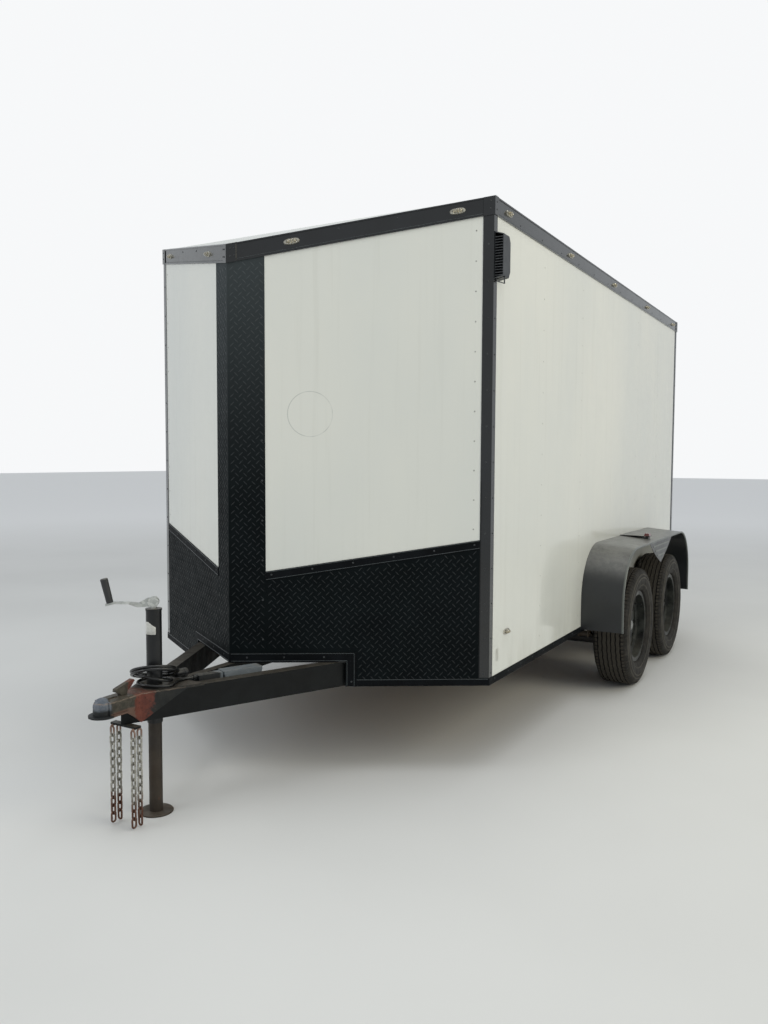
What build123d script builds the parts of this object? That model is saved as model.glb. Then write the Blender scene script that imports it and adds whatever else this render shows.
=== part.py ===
# A V-nose box trailer on two axles, parked on its wheels and its tongue jack.
# Millimetres. +Z is up, the nose points to -Y, and +X is the trailer's left side.
# The origin is on the ground, under the middle of the bounding box.

import os
from math import atan2, cos, degrees, hypot, pi, radians, sin, tan

from build123d import *

os.makedirs("parts", exist_ok=True)

# Box
box_width = 1829.0
box_length = 3658.0
nose_depth = 578.0
box_height = 2018.0      # underside of the rails to the top of the roof
nose_drop = 208.0        # how far the roof falls from the front corners to the point
wall_thick = 38.0
roof_thick = 32.0
skin_thick = 1.5
floor_thick = 19.0
ride_height = 373.0      # underside of the rails above the ground

# Steel frame
rail_width = 51.0
rail_height = 102.0
tube_wall = 4.0
cross_width = 51.0
cross_height = 76.0
cross_count = 5
rear_post_width = 60.0
rear_post_depth = 60.0
header_height = 110.0

# Tongue
tongue_angle = 25.0      # each side tube to the centre line
tongue_apex = 1168.0     # where the outer faces meet, ahead of the front corners
tongue_width = 51.0
middle_tube_width = 38.0
middle_tube_height = 51.0
middle_tube_reach = 960.0
chain_bar_length = 126.0
chain_bar_width = 26.0
chain_bar_thick = 8.0
chain_bar_back = 22.0    # its middle behind the point of the tongue

# Coupler
ball_reach = 1250.0      # ball centre ahead of the front corners
ball_height = 88.0       # ball centre above the underside of the rails
ball_radius = 25.4
ball_gap = 0.6
socket_wall = 6.0
coupler_wall = 6.0
coupler_lip_radius = 48.0
coupler_neck_width = 74.0
coupler_back = 885.0     # rear edge of its top plate ahead of the front corners
coupler_side_back = 220.0  # where its side plates end behind the point of the tongue
coupler_tip_back = 63.0  # lowest point of its side plates behind the point of the tongue

# Jack
jack_reach = 1003.0
jack_radius = 28.6
jack_wall = 3.5
jack_top = 393.0         # above the underside of the rails
jack_skirt = 30.0        # how far the outer tube hangs below the rails
jack_flange_radius = 52.0
jack_leg_gap = 0.3
jack_foot_radius = 63.5
jack_foot_thick = 6.0
jack_travel = 330.0
crank_length = 155.0
crank_turn = 50.0        # swung from straight ahead towards the right side
grip_length = 92.0
grip_radius = 14.0
grip_lean = 13.0         # out from upright

# Wheels
tyre_radius = 344.5
tyre_width = 205.0
rim_radius = 208.0
rim_seat_radius = 190.5
rim_width = 152.0
rim_sheet = 4.0
seat_gap = 0.3
wheel_inset = 15.5       # tyre's inner face out from the wall
axle_spread = 864.0
axle_middle = 2205.0     # midway between the axles, behind the front corners
spindle_radius = 17.0
spindle_gap = 0.1
drum_radius = 140.0
drum_depth = 70.0
axle_radius = 30.0
axle_drop = 102.0
spring_width = 45.0
spring_leaf = 7.0
spring_count = 4

# Fenders
fender_length = 1829.0
fender_width = 235.0
fender_sheet = 2.0
fender_low = 14.0        # above the underside of the rails
fender_high = 475.0
fender_fall = 20.0       # how far its top drops towards the outside
fender_curve = 300.0
fender_lip = 6.0

# Trim
trim_height = 74.0
trim_thick = 3.0
trim_bead = 6.0
bead_proud = 2.5
band_height = 37.0
band_thick = 2.0
corner_flange_front = 36.0
corner_flange_side = 34.0
guard_corner_height = 621.0
guard_point_height = 462.0
guard_thick = 1.5
strip_reach = 127.0      # half width of the tread plate strip on the point, along X
cutout_reach = 408.0     # half width of the opening over the tongue
cutout_height = 106.0
bottom_band = 30.0

# Side door, in the right wall
side_door_front = 330.0  # front edge of its opening behind the front corners
side_door_width = 825.0
side_door_head = 165.0    # from the top of the box down to its opening
door_gap = 6.0
frame_band = 34.0
frame_proud = 3.5
hinge_radius = 7.0
hinge_pin = 3.5
hinge_pin_gap = 0.1
knuckle_gap = 0.5        # between knuckles, and between a knuckle and the face behind it

# Ramp door
ramp_trim_thick = 2.0
lock_bar_radius = 12.5
lock_bar_out = 30.0
lock_handle_thick = 10.0
lock_bar_gap = 254.5     # in from the side of the opening
ramp_hinge_gap = 164.5   # outer hinges in from the side of the opening
ramp_hinge_spacing = 460.0

# Number plate bracket
plate_width = 310.0
plate_height = 90.0
plate_thick = 3.0
plate_hole_spacing = 178.0
plate_hole_radius = 3.5

# Side vents
vent_height = 192.0
vent_length = 94.0
vent_proud = 42.0
vent_sheet = 2.5
vent_top_gap = 137.0     # from the top of the box down to the vent
vent_rear_gap = 174.0    # from the rear edge to the right vent
vent_slats = 16
vent_corner = 36.0       # how far its rear corners are cut back

# Lamps
lamp_length = 64.0
lamp_height = 25.0
lamp_base = 6.0
lamp_dome = 12.0
side_lamp_count = 5
side_lamp_front = 152.0  # the first one behind the front corners
side_lamp_back = 155.0   # the last one ahead of the rear edge
nose_lamp_gap = 126.5    # the outer one in from the side, and so at the rear
rear_lamp_gap = 134.5
lamp_spacing = 130.0     # the three in the middle of the rear

# Chains and cord
chain_wire = 7.0
chain_inner_length = 29.0
chain_inner_width = 10.5
chain_gap = 0.3
chain_links = 12
cord_radius = 5.5
coil_radius = 77.0       # middle of the coil's turns, round the jack
low_coil_thick = 12.0
high_coil_thick = 24.0
high_coil_near = 557.0   # height of the raised coil's middle, on the side towards the front left
high_coil_far = 499.0
high_coil_shift = 12.0
plug_radius = 18.0
plug_length = 52.0
plug_tail = 20.0

# Boxes on the inner face of the left tongue tube
box_above_tube = 20.0
battery_box_length = 160.0
battery_box_width = 58.0
battery_box_height = 48.0
battery_box_reach = 690.0     # its middle ahead of the front corners
junction_box_length = 100.0
junction_box_width = 40.0
junction_box_height = 42.0
junction_box_reach = 815.0
box_lid = 12.0
gland_radius = 9.0
gland_length = 14.0

# Places that follow from the sizes above
half = box_width / 2
coupler_tip = ball_reach + coupler_lip_radius
rear_reach = lock_bar_out + lock_bar_radius + lock_handle_thick - 1
front_y = (coupler_tip - box_length - rear_reach) / 2
rear_y = front_y + box_length
point_y = front_y - nose_depth
rail_z = ride_height
deck_z = rail_z + rail_height
floor_z = deck_z + floor_thick
roof_z = rail_z + box_height
side_door_height = roof_z - side_door_head - floor_z
ceiling_z = roof_z - roof_thick
nose_angle = degrees(atan2(nose_depth, half))
nose_length = hypot(half, nose_depth)
inner = half - wall_thick
wheel_x = half + wheel_inset + tyre_width / 2
axle_y = front_y + axle_middle
lean = tan(radians(tongue_angle))
rail_x = half - skin_thick - rail_width / 2
ball_y = front_y - ball_reach
ball_z = rail_z + ball_height
jack_y = front_y - jack_reach
apex_y = front_y - tongue_apex
chain_y = apex_y + chain_bar_back
plate_mid_z = rail_z + rail_height / 2
ramp_half = half - rear_post_width
ramp_hinge_x = ramp_half - ramp_hinge_gap
plate_x = ramp_hinge_x - ramp_hinge_spacing / 2          # midway between two hinges


def slope_z(height_at_corner, height_at_point, y):
    """Height on a line that falls from the front corners to the nose's point."""
    share = (front_y - y) / nose_depth
    return rail_z + height_at_corner + (height_at_point - height_at_corner) * share


def nose_piece(side, outward, inward, x_from, x_to, low, high):
    """A strip along one face of the nose. low and high are (corner, point) heights."""
    slant = cos(radians(nose_angle))
    rise = nose_depth / half
    with BuildPart() as strip:
        with BuildSketch(Plane.XY.offset(rail_z - 5)):
            with BuildLine():
                Polyline(
                    (side * x_from, point_y + x_from * rise - outward / slant),
                    (side * x_to, point_y + x_to * rise - outward / slant),
                    (side * x_to, point_y + x_to * rise + inward / slant),
                    (side * x_from, point_y + x_from * rise + inward / slant),
                    close=True,
                )
            make_face()
        extrude(amount=box_height + 60)
        with BuildSketch(Plane.YZ):
            ahead = point_y - 60
            behind = front_y
            with BuildLine():
                Polyline(
                    (ahead, slope_z(low[0], low[1], ahead)),
                    (behind, slope_z(low[0], low[1], behind)),
                    (behind, slope_z(high[0], high[1], behind)),
                    (ahead, slope_z(high[0], high[1], ahead)),
                    close=True,
                )
            make_face()
        extrude(amount=half + 100, both=True, mode=Mode.INTERSECT)
    return strip.part


def save(shape, name):
    shape.label = name
    export_step(shape, "parts/" + name + ".step")


# Main frame: two long rails
with BuildPart() as side_rails:
    for side in (-1, 1):
        with BuildSketch(Plane.XZ.offset(-front_y)):
            with Locations((side * rail_x, rail_z + rail_height / 2)):
                Rectangle(rail_width, rail_height)
                Rectangle(rail_width - 2 * tube_wall, rail_height - 2 * tube_wall, mode=Mode.SUBTRACT)
        extrude(amount=-box_length)
save(side_rails.part, "side_rails")

# Cross members between the rails, the end ones as tall as the rails
cross_length = 2 * rail_x - rail_width
cross_step = (box_length - cross_width) / (cross_count + 1)
with BuildPart() as cross_members:
    for end_y in (front_y + cross_width / 2, rear_y - cross_width / 2):
        with BuildSketch(Plane.YZ.offset(-cross_length / 2)):
            with Locations((end_y, rail_z + rail_height / 2)):
                Rectangle(cross_width, rail_height)
                Rectangle(cross_width - 2 * tube_wall, rail_height - 2 * tube_wall, mode=Mode.SUBTRACT)
        extrude(amount=cross_length)
    for number in range(1, cross_count + 1):
        with BuildSketch(Plane.YZ.offset(-cross_length / 2)):
            with Locations((front_y + cross_width / 2 + number * cross_step, deck_z - cross_height / 2)):
                Rectangle(cross_width, cross_height)
                Rectangle(cross_width - 2 * tube_wall, cross_height - 2 * tube_wall, mode=Mode.SUBTRACT)
        extrude(amount=cross_length)
    # holes behind those of the number plate bracket
    with BuildSketch(Plane.XZ.offset(-rear_y)):
        with Locations((plate_x, plate_mid_z)):
            with GridLocations(plate_hole_spacing, 0, 2, 1):
                Circle(plate_hole_radius)
    extrude(amount=2 * tube_wall, mode=Mode.SUBTRACT)
save(cross_members.part, "cross_members")

# Tongue: two side tubes and a middle tube, back to the front cross member
tongue_skew = tongue_width / cos(radians(tongue_angle))
with BuildPart() as tongue_tubes:
    for side in (-1, 1):
        with BuildSketch(Plane.XY.offset(rail_z)):
            with BuildLine():
                Polyline(
                    (0, apex_y),
                    (side * (front_y - apex_y) * lean, front_y),
                    (side * ((front_y - apex_y) * lean - tongue_skew), front_y),
                    (0, apex_y + tongue_skew / lean),
                    close=True,
                )
            make_face()
        extrude(amount=rail_height)
    with Locations((0, (front_y + front_y - middle_tube_reach) / 2, deck_z - middle_tube_height / 2)):
        Box(middle_tube_width, middle_tube_reach, middle_tube_height)
    # flat bar welded under the point, which the safety chains hang from
    with Locations((0, chain_y, rail_z - chain_bar_thick / 2)):
        Box(chain_bar_length, chain_bar_width, chain_bar_thick)
    with Locations((0, jack_y, rail_z + rail_height / 2)):
        Cylinder(jack_radius + 1, rail_height + 2, mode=Mode.SUBTRACT)
save(tongue_tubes.part, "tongue_tubes")

# Frame under the nose: one short tube each side, from the corner to the tongue
with BuildPart() as nose_frame:
    for side in (-1, 1):
        tube = nose_piece(side, -skin_thick, skin_thick + rail_width, cutout_reach + 30, half - 30,
                          (0, 0), (rail_height, rail_height))
        add(tube)
    reach = front_y - apex_y + 10
    with BuildSketch(Plane.XY.offset(rail_z - 5)):
        with BuildLine():
            Polyline(
                (-reach * lean, apex_y + reach),
                (0, apex_y),
                (reach * lean, apex_y + reach),
                close=True,
            )
        make_face()
    extrude(amount=rail_height + 10, mode=Mode.SUBTRACT)
    with Locations((0, front_y + 50, rail_z + rail_height / 2)):
        Box(box_width, 100, rail_height + 10, mode=Mode.SUBTRACT)
save(nose_frame.part, "nose_frame")

# Coupler: a pressed channel over the tongue's point, with the ball socket in front
neck_half = coupler_neck_width / 2
outer_shift = coupler_wall / sin(radians(tongue_angle))
with BuildPart() as coupler:
    back_y = front_y - coupler_back
    wing_half = (back_y - apex_y + outer_shift) * lean
    neck_y = apex_y - outer_shift + neck_half / lean
    with BuildSketch(Plane.XY.offset(rail_z)):
        with BuildLine():
            Polyline(
                (-neck_half, ball_y),
                (neck_half, ball_y),
                (neck_half, neck_y),
                (wing_half, back_y),
                (-wing_half, back_y),
                (-neck_half, neck_y),
                close=True,
            )
        make_face()
    extrude(amount=rail_height + coupler_wall)
    # the nose slopes down from the top plate to the ball
    with BuildSketch(Plane.YZ):
        with BuildLine():
            Polyline(
                (ball_y - 60, rail_z + 104),
                (ball_y + 60, rail_z + rail_height + coupler_wall + 1),
                (ball_y - 60, rail_z + rail_height + coupler_wall + 1),
                close=True,
            )
        make_face()
    extrude(amount=box_width / 4, both=True, mode=Mode.SUBTRACT)
    # room for the tubes and the hollow neck
    with BuildSketch(Plane.XY.offset(rail_z - 1)):
        with BuildLine():
            Polyline(
                (0, apex_y),
                ((back_y + 50 - apex_y) * lean, back_y + 50),
                (-(back_y + 50 - apex_y) * lean, back_y + 50),
                close=True,
            )
        make_face()
        with Locations((0, (ball_y + 40 + neck_y + 5) / 2)):
            Rectangle(coupler_neck_width - 2 * coupler_wall, neck_y + 5 - ball_y - 40)
    extrude(amount=rail_height + 1, mode=Mode.SUBTRACT)
    # underside: level lip in front, then down to the tip, then up along the tube
    tip_y = apex_y + coupler_tip_back
    with BuildSketch(Plane.YZ):
        with BuildLine():
            Polyline(
                (ball_y - 80, rail_z + 54),
                (ball_y + 75, rail_z + 54),
                (ball_y + 110, rail_z + 30),
                (tip_y, rail_z),
                (apex_y + coupler_side_back, rail_z + rail_height - 4),
                (back_y + 20, rail_z + rail_height - 4),
                (back_y + 20, rail_z - 10),
                (ball_y - 80, rail_z - 10),
                close=True,
            )
        make_face()
    extrude(amount=box_width / 4, both=True, mode=Mode.SUBTRACT)
    with Locations((0, ball_y, ball_z)):
        Sphere(ball_radius + ball_gap + socket_wall)
        Cylinder(ball_radius + ball_gap + socket_wall, ball_height - 56,
                 align=(Align.CENTER, Align.CENTER, Align.MAX))
    with Locations((0, ball_y, rail_z + 54 + coupler_wall / 2)):
        Cylinder(coupler_lip_radius, coupler_wall)
    with Locations((0, ball_y + 50, rail_z + 54 + coupler_wall / 2)):
        Box(coupler_neck_width + 16, 60, coupler_wall)
    with Locations((0, ball_y, rail_z + 27 - 4)):
        Box(120, 160, 62, mode=Mode.SUBTRACT)
    with Locations((0, ball_y, ball_z)):
        Sphere(ball_radius + ball_gap, mode=Mode.SUBTRACT)
        Cylinder(ball_radius + ball_gap, 60, align=(Align.CENTER, Align.CENTER, Align.MAX), mode=Mode.SUBTRACT)
    with Locations((0, jack_y, deck_z)):
        Cylinder(jack_radius + 0.3, 30, mode=Mode.SUBTRACT)
    # slot for the latch, and the latch lying in it
    with Locations((0, ball_y + 46, rail_z + rail_height)):
        Box(14, 44, 40, mode=Mode.SUBTRACT)
save(coupler.part, "coupler")

with BuildPart() as coupler_latch:
    with BuildSketch(Plane.YZ.offset(-9)):
        with BuildLine():
            Polyline(
                (ball_y + 78, rail_z + rail_height + coupler_wall),
                (ball_y + 76, rail_z + 116),
                (ball_y + 54, rail_z + 127),
                (ball_y + 56, rail_z + 137),
                (ball_y + 134, rail_z + 157),
                (ball_y + 142, rail_z + 152),
                (ball_y + 124, rail_z + 132),
                (ball_y + 108, rail_z + 122),
                (ball_y + 104, rail_z + rail_height + coupler_wall),
                close=True,
            )
        make_face()
    extrude(amount=18)
save(coupler_latch.part, "coupler_latch")

# Jack: outer tube with its mounting flange, and the leg that slides in it
with BuildPart() as jack_tube:
    with BuildSketch(Plane.XY.offset(rail_z - jack_skirt)):
        with Locations((0, jack_y)):
            Circle(jack_radius)
            Circle(jack_radius - jack_wall, mode=Mode.SUBTRACT)
    extrude(amount=jack_top + jack_skirt - 4)
    with BuildSketch(Plane.XY.offset(rail_z + jack_top - 4)):
        with Locations((0, jack_y)):
            Circle(jack_radius + 1.5)
    extrude(amount=7)
    with BuildSketch(Plane.XY.offset(deck_z + coupler_wall)):
        with Locations((0, jack_y)):
            Circle(jack_flange_radius)
            Circle(jack_radius - 1, mode=Mode.SUBTRACT)
            with PolarLocations(jack_flange_radius - 10, 3, start_angle=90):
                Circle(5.5, mode=Mode.SUBTRACT)
    extrude(amount=6)
save(jack_tube.part, "jack_tube")

leg_radius = jack_radius - jack_wall - jack_leg_gap
leg_low = jack_foot_thick
leg_high = rail_z - jack_skirt + 40
with BuildPart() as jack_leg:
    with Locations((0, jack_y, leg_low)):
        Cylinder(leg_radius, leg_high - leg_low,
                 align=(Align.CENTER, Align.CENTER, Align.MIN))
    with Locations((0, jack_y, 0)):
        Cylinder(jack_foot_radius, jack_foot_thick, align=(Align.CENTER, Align.CENTER, Align.MIN))
    chamfer(jack_leg.edges().filter_by(GeomType.CIRCLE).group_by(Axis.Z)[1].sort_by(SortBy.LENGTH)[-1], 2)
save(jack_leg.part, "jack_leg")

# Crank: hub on the jack's shaft, cranked arm and grip
hub_z = rail_z + jack_top + 3
arm_x = -crank_length * sin(radians(crank_turn))
arm_y = -crank_length * cos(radians(crank_turn))
crank_frame = Plane(origin=(0, jack_y, hub_z), x_dir=(arm_x, arm_y, 0), z_dir=(arm_y, -arm_x, 0))
pad_half = 16.0
pad_fall = pad_half * tan(radians(grip_lean))
with BuildPart() as jack_crank:
    with Locations((0, jack_y, hub_z)):
        Cylinder(10, 10, align=(Align.CENTER, Align.CENTER, Align.MIN))
    with BuildSketch(crank_frame.offset(-13)):
        with Locations((0, 24)):
            Circle(20)
    extrude(amount=26)
    with BuildSketch(crank_frame.offset(-9)):
        with BuildLine():
            Polyline(
                (0, 8), (58, 6), (88, 18), (crank_length - pad_half, 20),
                (crank_length + pad_half, 20 - 2 * pad_fall), (crank_length + pad_half, 28 - 2 * pad_fall),
                (crank_length - pad_half, 28), (86, 27), (54, 22), (20, 40), (0, 42),
                close=True,
            )
        make_face()
    extrude(amount=18)
save(jack_crank.part, "jack_crank")

grip_plane = Plane(origin=crank_frame.from_local_coords((crank_length, 28 - pad_fall, 0)),
                   z_dir=crank_frame.x_dir * tan(radians(grip_lean)) + Vector(0, 0, 1))
with BuildPart() as jack_grip:
    with Locations(grip_plane):
        Cone(grip_radius - 1.5, grip_radius, grip_length, align=(Align.CENTER, Align.CENTER, Align.MIN))
    chamfer(jack_grip.edges().group_by(Axis.Z)[-1], 3)
save(jack_grip.part, "jack_grip")

# Safety chains: each hangs doubled from under the coupler
link_half_length = (chain_inner_length + chain_wire) / 2
link_half_width = (chain_inner_width + chain_wire) / 2
link_step = chain_inner_length - chain_gap
link_straight = link_half_length - link_half_width
link_corner = link_half_width * 0.414
with BuildPart() as link:
    with BuildLine(Plane.XZ) as loop:
        Polyline(
            (link_half_width, -link_straight), (link_half_width, link_straight),
            (link_corner, link_half_length), (-link_corner, link_half_length),
            (-link_half_width, link_straight), (-link_half_width, -link_straight),
            (-link_corner, -link_half_length), (link_corner, -link_half_length),
            close=True,
        )
    with BuildSketch(Plane(origin=loop.line @ 0.05, z_dir=loop.line % 0.05)):
        RegularPolygon(chain_wire / 2, 4)
    sweep(path=loop.line, transition=Transition.RIGHT)

hook_thick = 9.0
hook_low = rail_z - chain_bar_thick - hook_thick
chains = (
    # name, x of its hook
    ("chain_left", 52.0),
    ("chain_right", -52.0),
)
for name, hook_x in chains:
    with BuildPart() as chain:
        for strand in (-1, 1):
            for number in range(chain_links):
                link_z = hook_low + 3 - link_half_length - number * link_step
                turned = 90 * ((number + (strand > 0)) % 2)
                with Locations(Location((hook_x, chain_y + strand * 15, link_z), (0, 0, turned))):
                    add(link.part)
        # the lug under the bar that both strands hang from
        with Locations((hook_x, chain_y, hook_low + hook_thick / 2)):
            Box(hook_thick, 46, hook_thick)
    save(chain.part, name)

# Battery box with a wider lid, and the junction box that the cord comes out of


def tube_face(reach):
    """Level plane on the left tube's inner face, its x along the tube and its y inwards."""
    back = apex_y - front_y + reach
    spot = (-back * lean - tongue_skew, front_y - reach, deck_z + box_above_tube)
    along = (sin(radians(tongue_angle)), cos(radians(tongue_angle)), 0)
    return Plane(origin=spot, x_dir=along, z_dir=(0, 0, 1))


tongue_boxes = (
    # reach, length, width, height, lid's overhang
    (battery_box_reach, battery_box_length, battery_box_width, battery_box_height, 3.0),
    (junction_box_reach, junction_box_length, junction_box_width, junction_box_height, 0.0),
)
gland_low = box_above_tube - coupler_wall - low_coil_thick / 2 - 0.3
with BuildPart() as wiring_boxes:
    for reach, length, width, height, overhang in tongue_boxes:
        with BuildSketch(tube_face(reach)):
            with Locations((0, width / 2)):
                RectangleRounded(length, width, 4)
        extrude(amount=-height)
        with BuildSketch(tube_face(reach)):
            with Locations((0, (width + overhang) / 2)):
                RectangleRounded(length + 2 * overhang, width + overhang, 5)
        extrude(amount=-box_lid)
    gland_face = tube_face(junction_box_reach)
    with BuildSketch(Plane(origin=gland_face.from_local_coords((-junction_box_length / 2 + 1,
                                                                junction_box_width / 2, -gland_low)),
                           z_dir=-gland_face.x_dir)):
        Circle(gland_radius)
    extrude(amount=gland_length + 1)
save(wiring_boxes.part, "wiring_boxes")

# Cord: out of the gland, once round the jack on the coupler, then the raised turns and the plug
plate_z = deck_z + coupler_wall
lead_points = (
    # from the jack's axis and the coupler's top plate
    (63.2, 138.5, 6.3),
    (53.9, 118.6, 6.3),
    (49.6, 94.0, 6.3),
    (52.0, 66.1, 6.3),
    (64.2, 43.1, 6.3),
)
lead_route = [Vector(x, jack_y + y, plate_z + z) for x, y, z in lead_points]
lead_radii = []
for before, corner, after in zip(lead_route, lead_route[1:], lead_route[2:]):
    turn = (corner - before).get_angle(after - corner)
    shorter = min((corner - before).length, (after - corner).length)
    lead_radii.append(0.45 * shorter / tan(radians(turn / 2)))
print("cord radii in mm:", [round(radius, 1) for radius in lead_radii])
with BuildPart() as cord_lead:
    with BuildLine() as lead_path:
        FilletPolyline(*lead_route, radius=lead_radii)
    with BuildSketch(Plane(origin=lead_path.line @ 0, z_dir=lead_path.line % 0)):
        Circle(cord_radius)
    sweep(path=lead_path.line)
save(cord_lead.part, "cord_lead")

high_coil_z = (high_coil_near + high_coil_far) / 2
coil_rise = (high_coil_near - high_coil_far) / (2 * coil_radius)
away = sin(pi / 4)
high_coil_plane = Plane(
    origin=(-high_coil_shift * away, jack_y + high_coil_shift * away, high_coil_z),
    z_dir=(-coil_rise * away, coil_rise * away, (1 - coil_rise ** 2) ** 0.5),
)
with BuildPart() as cord_coil:
    for coil_plane, thick in ((Plane((0, jack_y, plate_z + low_coil_thick / 2 + 0.3)), low_coil_thick),
                              (high_coil_plane, high_coil_thick)):
        with BuildSketch(Plane(origin=coil_plane.origin, x_dir=coil_plane.x_dir, z_dir=-coil_plane.y_dir)):
            with Locations((coil_radius, 0)):
                RegularPolygon(thick / 2, 8, major_radius=False, rotation=22.5)
        revolve(axis=Axis(coil_plane.origin, coil_plane.z_dir))
save(cord_coil.part, "cord_coil")

with BuildPart() as cord_plug:
    with BuildSketch(Plane.XZ):
        with BuildLine():
            Polyline(
                (0, 0), (cord_radius + 1, 0), (cord_radius + 4, plug_tail), (plug_radius - 2, plug_tail + 4),
                (plug_radius - 2, plug_tail + plug_length - 14), (plug_radius, plug_tail + plug_length - 14),
                (plug_radius, plug_tail + plug_length), (plug_radius - 3, plug_tail + plug_length),
                (plug_radius - 3, plug_tail + plug_length - 8), (0, plug_tail + plug_length - 8),
                close=True,
            )
        make_face()
    revolve(axis=Axis.Z)
plug_place = Plane(origin=(-6, jack_y + 90, plate_z + plug_radius + 3.3), z_dir=(0.12, 0.98, -0.11))
save(cord_plug.part.moved(plug_place.location), "cord_plug")

# Floor, from the ramp door's frame to the point, inside the walls
wall_back = rear_y - rear_post_depth
inner_point_y = point_y + wall_thick / cos(radians(nose_angle))
inner_corner_x = (front_y - inner_point_y) / (nose_depth / half)
with BuildPart() as floor:
    with BuildSketch(Plane.XY.offset(deck_z)):
        with BuildLine():
            Polyline(
                (0, inner_point_y), (inner_corner_x, front_y), (inner, front_y), (inner, wall_back),
                (-inner, wall_back), (-inner, front_y), (-inner_corner_x, front_y),
                close=True,
            )
        make_face()
    extrude(amount=floor_thick)
save(floor.part, "floor")

# Side walls, each with its thin skin down over the rail
wall_span = wall_back - front_y
with BuildPart() as left_wall:
    with Locations((half - wall_thick / 2, (front_y + wall_back) / 2, (deck_z + ceiling_z) / 2)):
        Box(wall_thick, wall_span, ceiling_z - deck_z)
    with Locations((half - skin_thick / 2, (front_y + rear_y) / 2, rail_z + rail_height / 2)):
        Box(skin_thick, box_length, rail_height)
save(left_wall.part, "left_wall")

door_low = floor_z
door_mid_y = front_y + side_door_front + side_door_width / 2
door_mid_z = door_low + side_door_height / 2
with BuildPart() as right_wall:
    with Locations((-half + wall_thick / 2, (front_y + wall_back) / 2, (deck_z + ceiling_z) / 2)):
        Box(wall_thick, wall_span, ceiling_z - deck_z)
    with Locations((-half + skin_thick / 2, (front_y + rear_y) / 2, rail_z + rail_height / 2)):
        Box(skin_thick, box_length, rail_height)
    with Locations((-half, door_mid_y, door_mid_z)):
        Box(3 * wall_thick, side_door_width, side_door_height, mode=Mode.SUBTRACT)
save(right_wall.part, "right_wall")

# Nose walls, cut away over the tongue
for name, side in (("nose_left_wall", 1), ("nose_right_wall", -1)):
    with BuildPart() as nose_wall:
        add(nose_piece(side, 0, wall_thick, 0, half, (rail_height, rail_height),
                       (box_height - roof_thick, box_height - roof_thick - nose_drop)))
        add(nose_piece(side, 0, skin_thick, cutout_reach, half, (0, 0), (rail_height, rail_height)))
    save(nose_wall.part, name)

# Roof: one sheet, flat over the box and falling towards the point
with BuildPart() as roof:
    with BuildSketch(Plane.YZ):
        with BuildLine():
            Polyline(
                (point_y, roof_z - nose_drop), (front_y, roof_z), (rear_y, roof_z),
                (rear_y, ceiling_z), (front_y, ceiling_z), (point_y, ceiling_z - nose_drop),
                close=True,
            )
        make_face()
    extrude(amount=half, both=True)
    with BuildSketch(Plane.XY.offset(ceiling_z - nose_drop - 10)):
        with BuildLine():
            Polyline(
                (0, point_y), (half, front_y), (half, rear_y), (-half, rear_y), (-half, front_y),
                close=True,
            )
        make_face()
    extrude(amount=nose_drop + roof_thick + 20, mode=Mode.INTERSECT)
save(roof.part, "roof")

# Rear frame: two posts and a header round the ramp door
ramp_low = deck_z + door_gap
ramp_high = ceiling_z - header_height - door_gap
with BuildPart() as rear_frame:
    with BuildSketch(Plane.XZ.offset(-rear_y)):
        with Locations((0, (deck_z + ceiling_z) / 2)):
            Rectangle(box_width, ceiling_z - deck_z)
        with Locations((0, (deck_z - 10 + ceiling_z - header_height) / 2)):
            Rectangle(2 * ramp_half, ceiling_z - header_height - deck_z + 10, mode=Mode.SUBTRACT)
    extrude(amount=rear_post_depth)
save(rear_frame.part, "rear_frame")

# Trim round the roof: a flat band with a bead along both edges, and a flange on the roof
trim_top = box_height + trim_thick
bead_out = trim_thick + bead_proud
trim_sides = (
    # outward, lower edge, upper edge, all from the underside of the rails
    (trim_thick, trim_top - trim_height, trim_top),
    (bead_out, trim_top - trim_bead, trim_top),
    (bead_out, trim_top - trim_height, trim_top - trim_height + trim_bead),
)
flange_reach = 22.0
cap_reach = 34.0
with BuildPart() as top_trim:
    for outward, low, high in trim_sides:
        with BuildSketch(Plane.XY.offset(rail_z + low)):
            with Locations((0, (front_y + rear_y + outward) / 2)):
                Rectangle(box_width + 2 * outward, box_length + outward)
                Rectangle(box_width, box_length + outward, mode=Mode.SUBTRACT)
            with Locations((0, rear_y + outward / 2)):
                Rectangle(box_width + 2 * outward, outward)
        extrude(amount=high - low)
        for side in (-1, 1):
            add(nose_piece(side, outward, 0, 0, half + outward,
                           (low, low - nose_drop), (high, high - nose_drop)))
    with BuildSketch(Plane.XY.offset(roof_z)):
        with Locations((0, (front_y + rear_y) / 2)):
            Rectangle(box_width, box_length)
            Rectangle(box_width - 2 * flange_reach, box_length + 1, mode=Mode.SUBTRACT)
        with Locations((0, rear_y - flange_reach / 2)):
            Rectangle(box_width, flange_reach)
    extrude(amount=trim_thick)
    for side in (-1, 1):
        add(nose_piece(side, 0, flange_reach, 0, half,
                       (box_height, box_height - nose_drop), (trim_top, trim_top - nose_drop)))
        # corner caps, bent round each corner and standing a little proud
        cap_low = trim_top - trim_height
        cap_high = trim_top + 1
        for x_from, x_to in ((0, cap_reach), (half - cap_reach, half + bead_out + 1)):
            add(nose_piece(side, bead_out + 1, 0, x_from, x_to,
                           (cap_low, cap_low - nose_drop), (cap_high, cap_high - nose_drop)))
        for cap_y in (front_y + cap_reach / 2, rear_y - cap_reach / 2):
            with Locations((side * (half + (bead_out + 1) / 2), cap_y, rail_z + (cap_low + cap_high) / 2)):
                Box(bead_out + 1, cap_reach, cap_high - cap_low)
        with Locations((side * (half - cap_reach / 2), rear_y + (bead_out + 1) / 2,
                        rail_z + (cap_low + cap_high) / 2)):
            Box(cap_reach + 2 * bead_out + 2, bead_out + 1, cap_high - cap_low)
save(top_trim.part, "top_trim")

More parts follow.
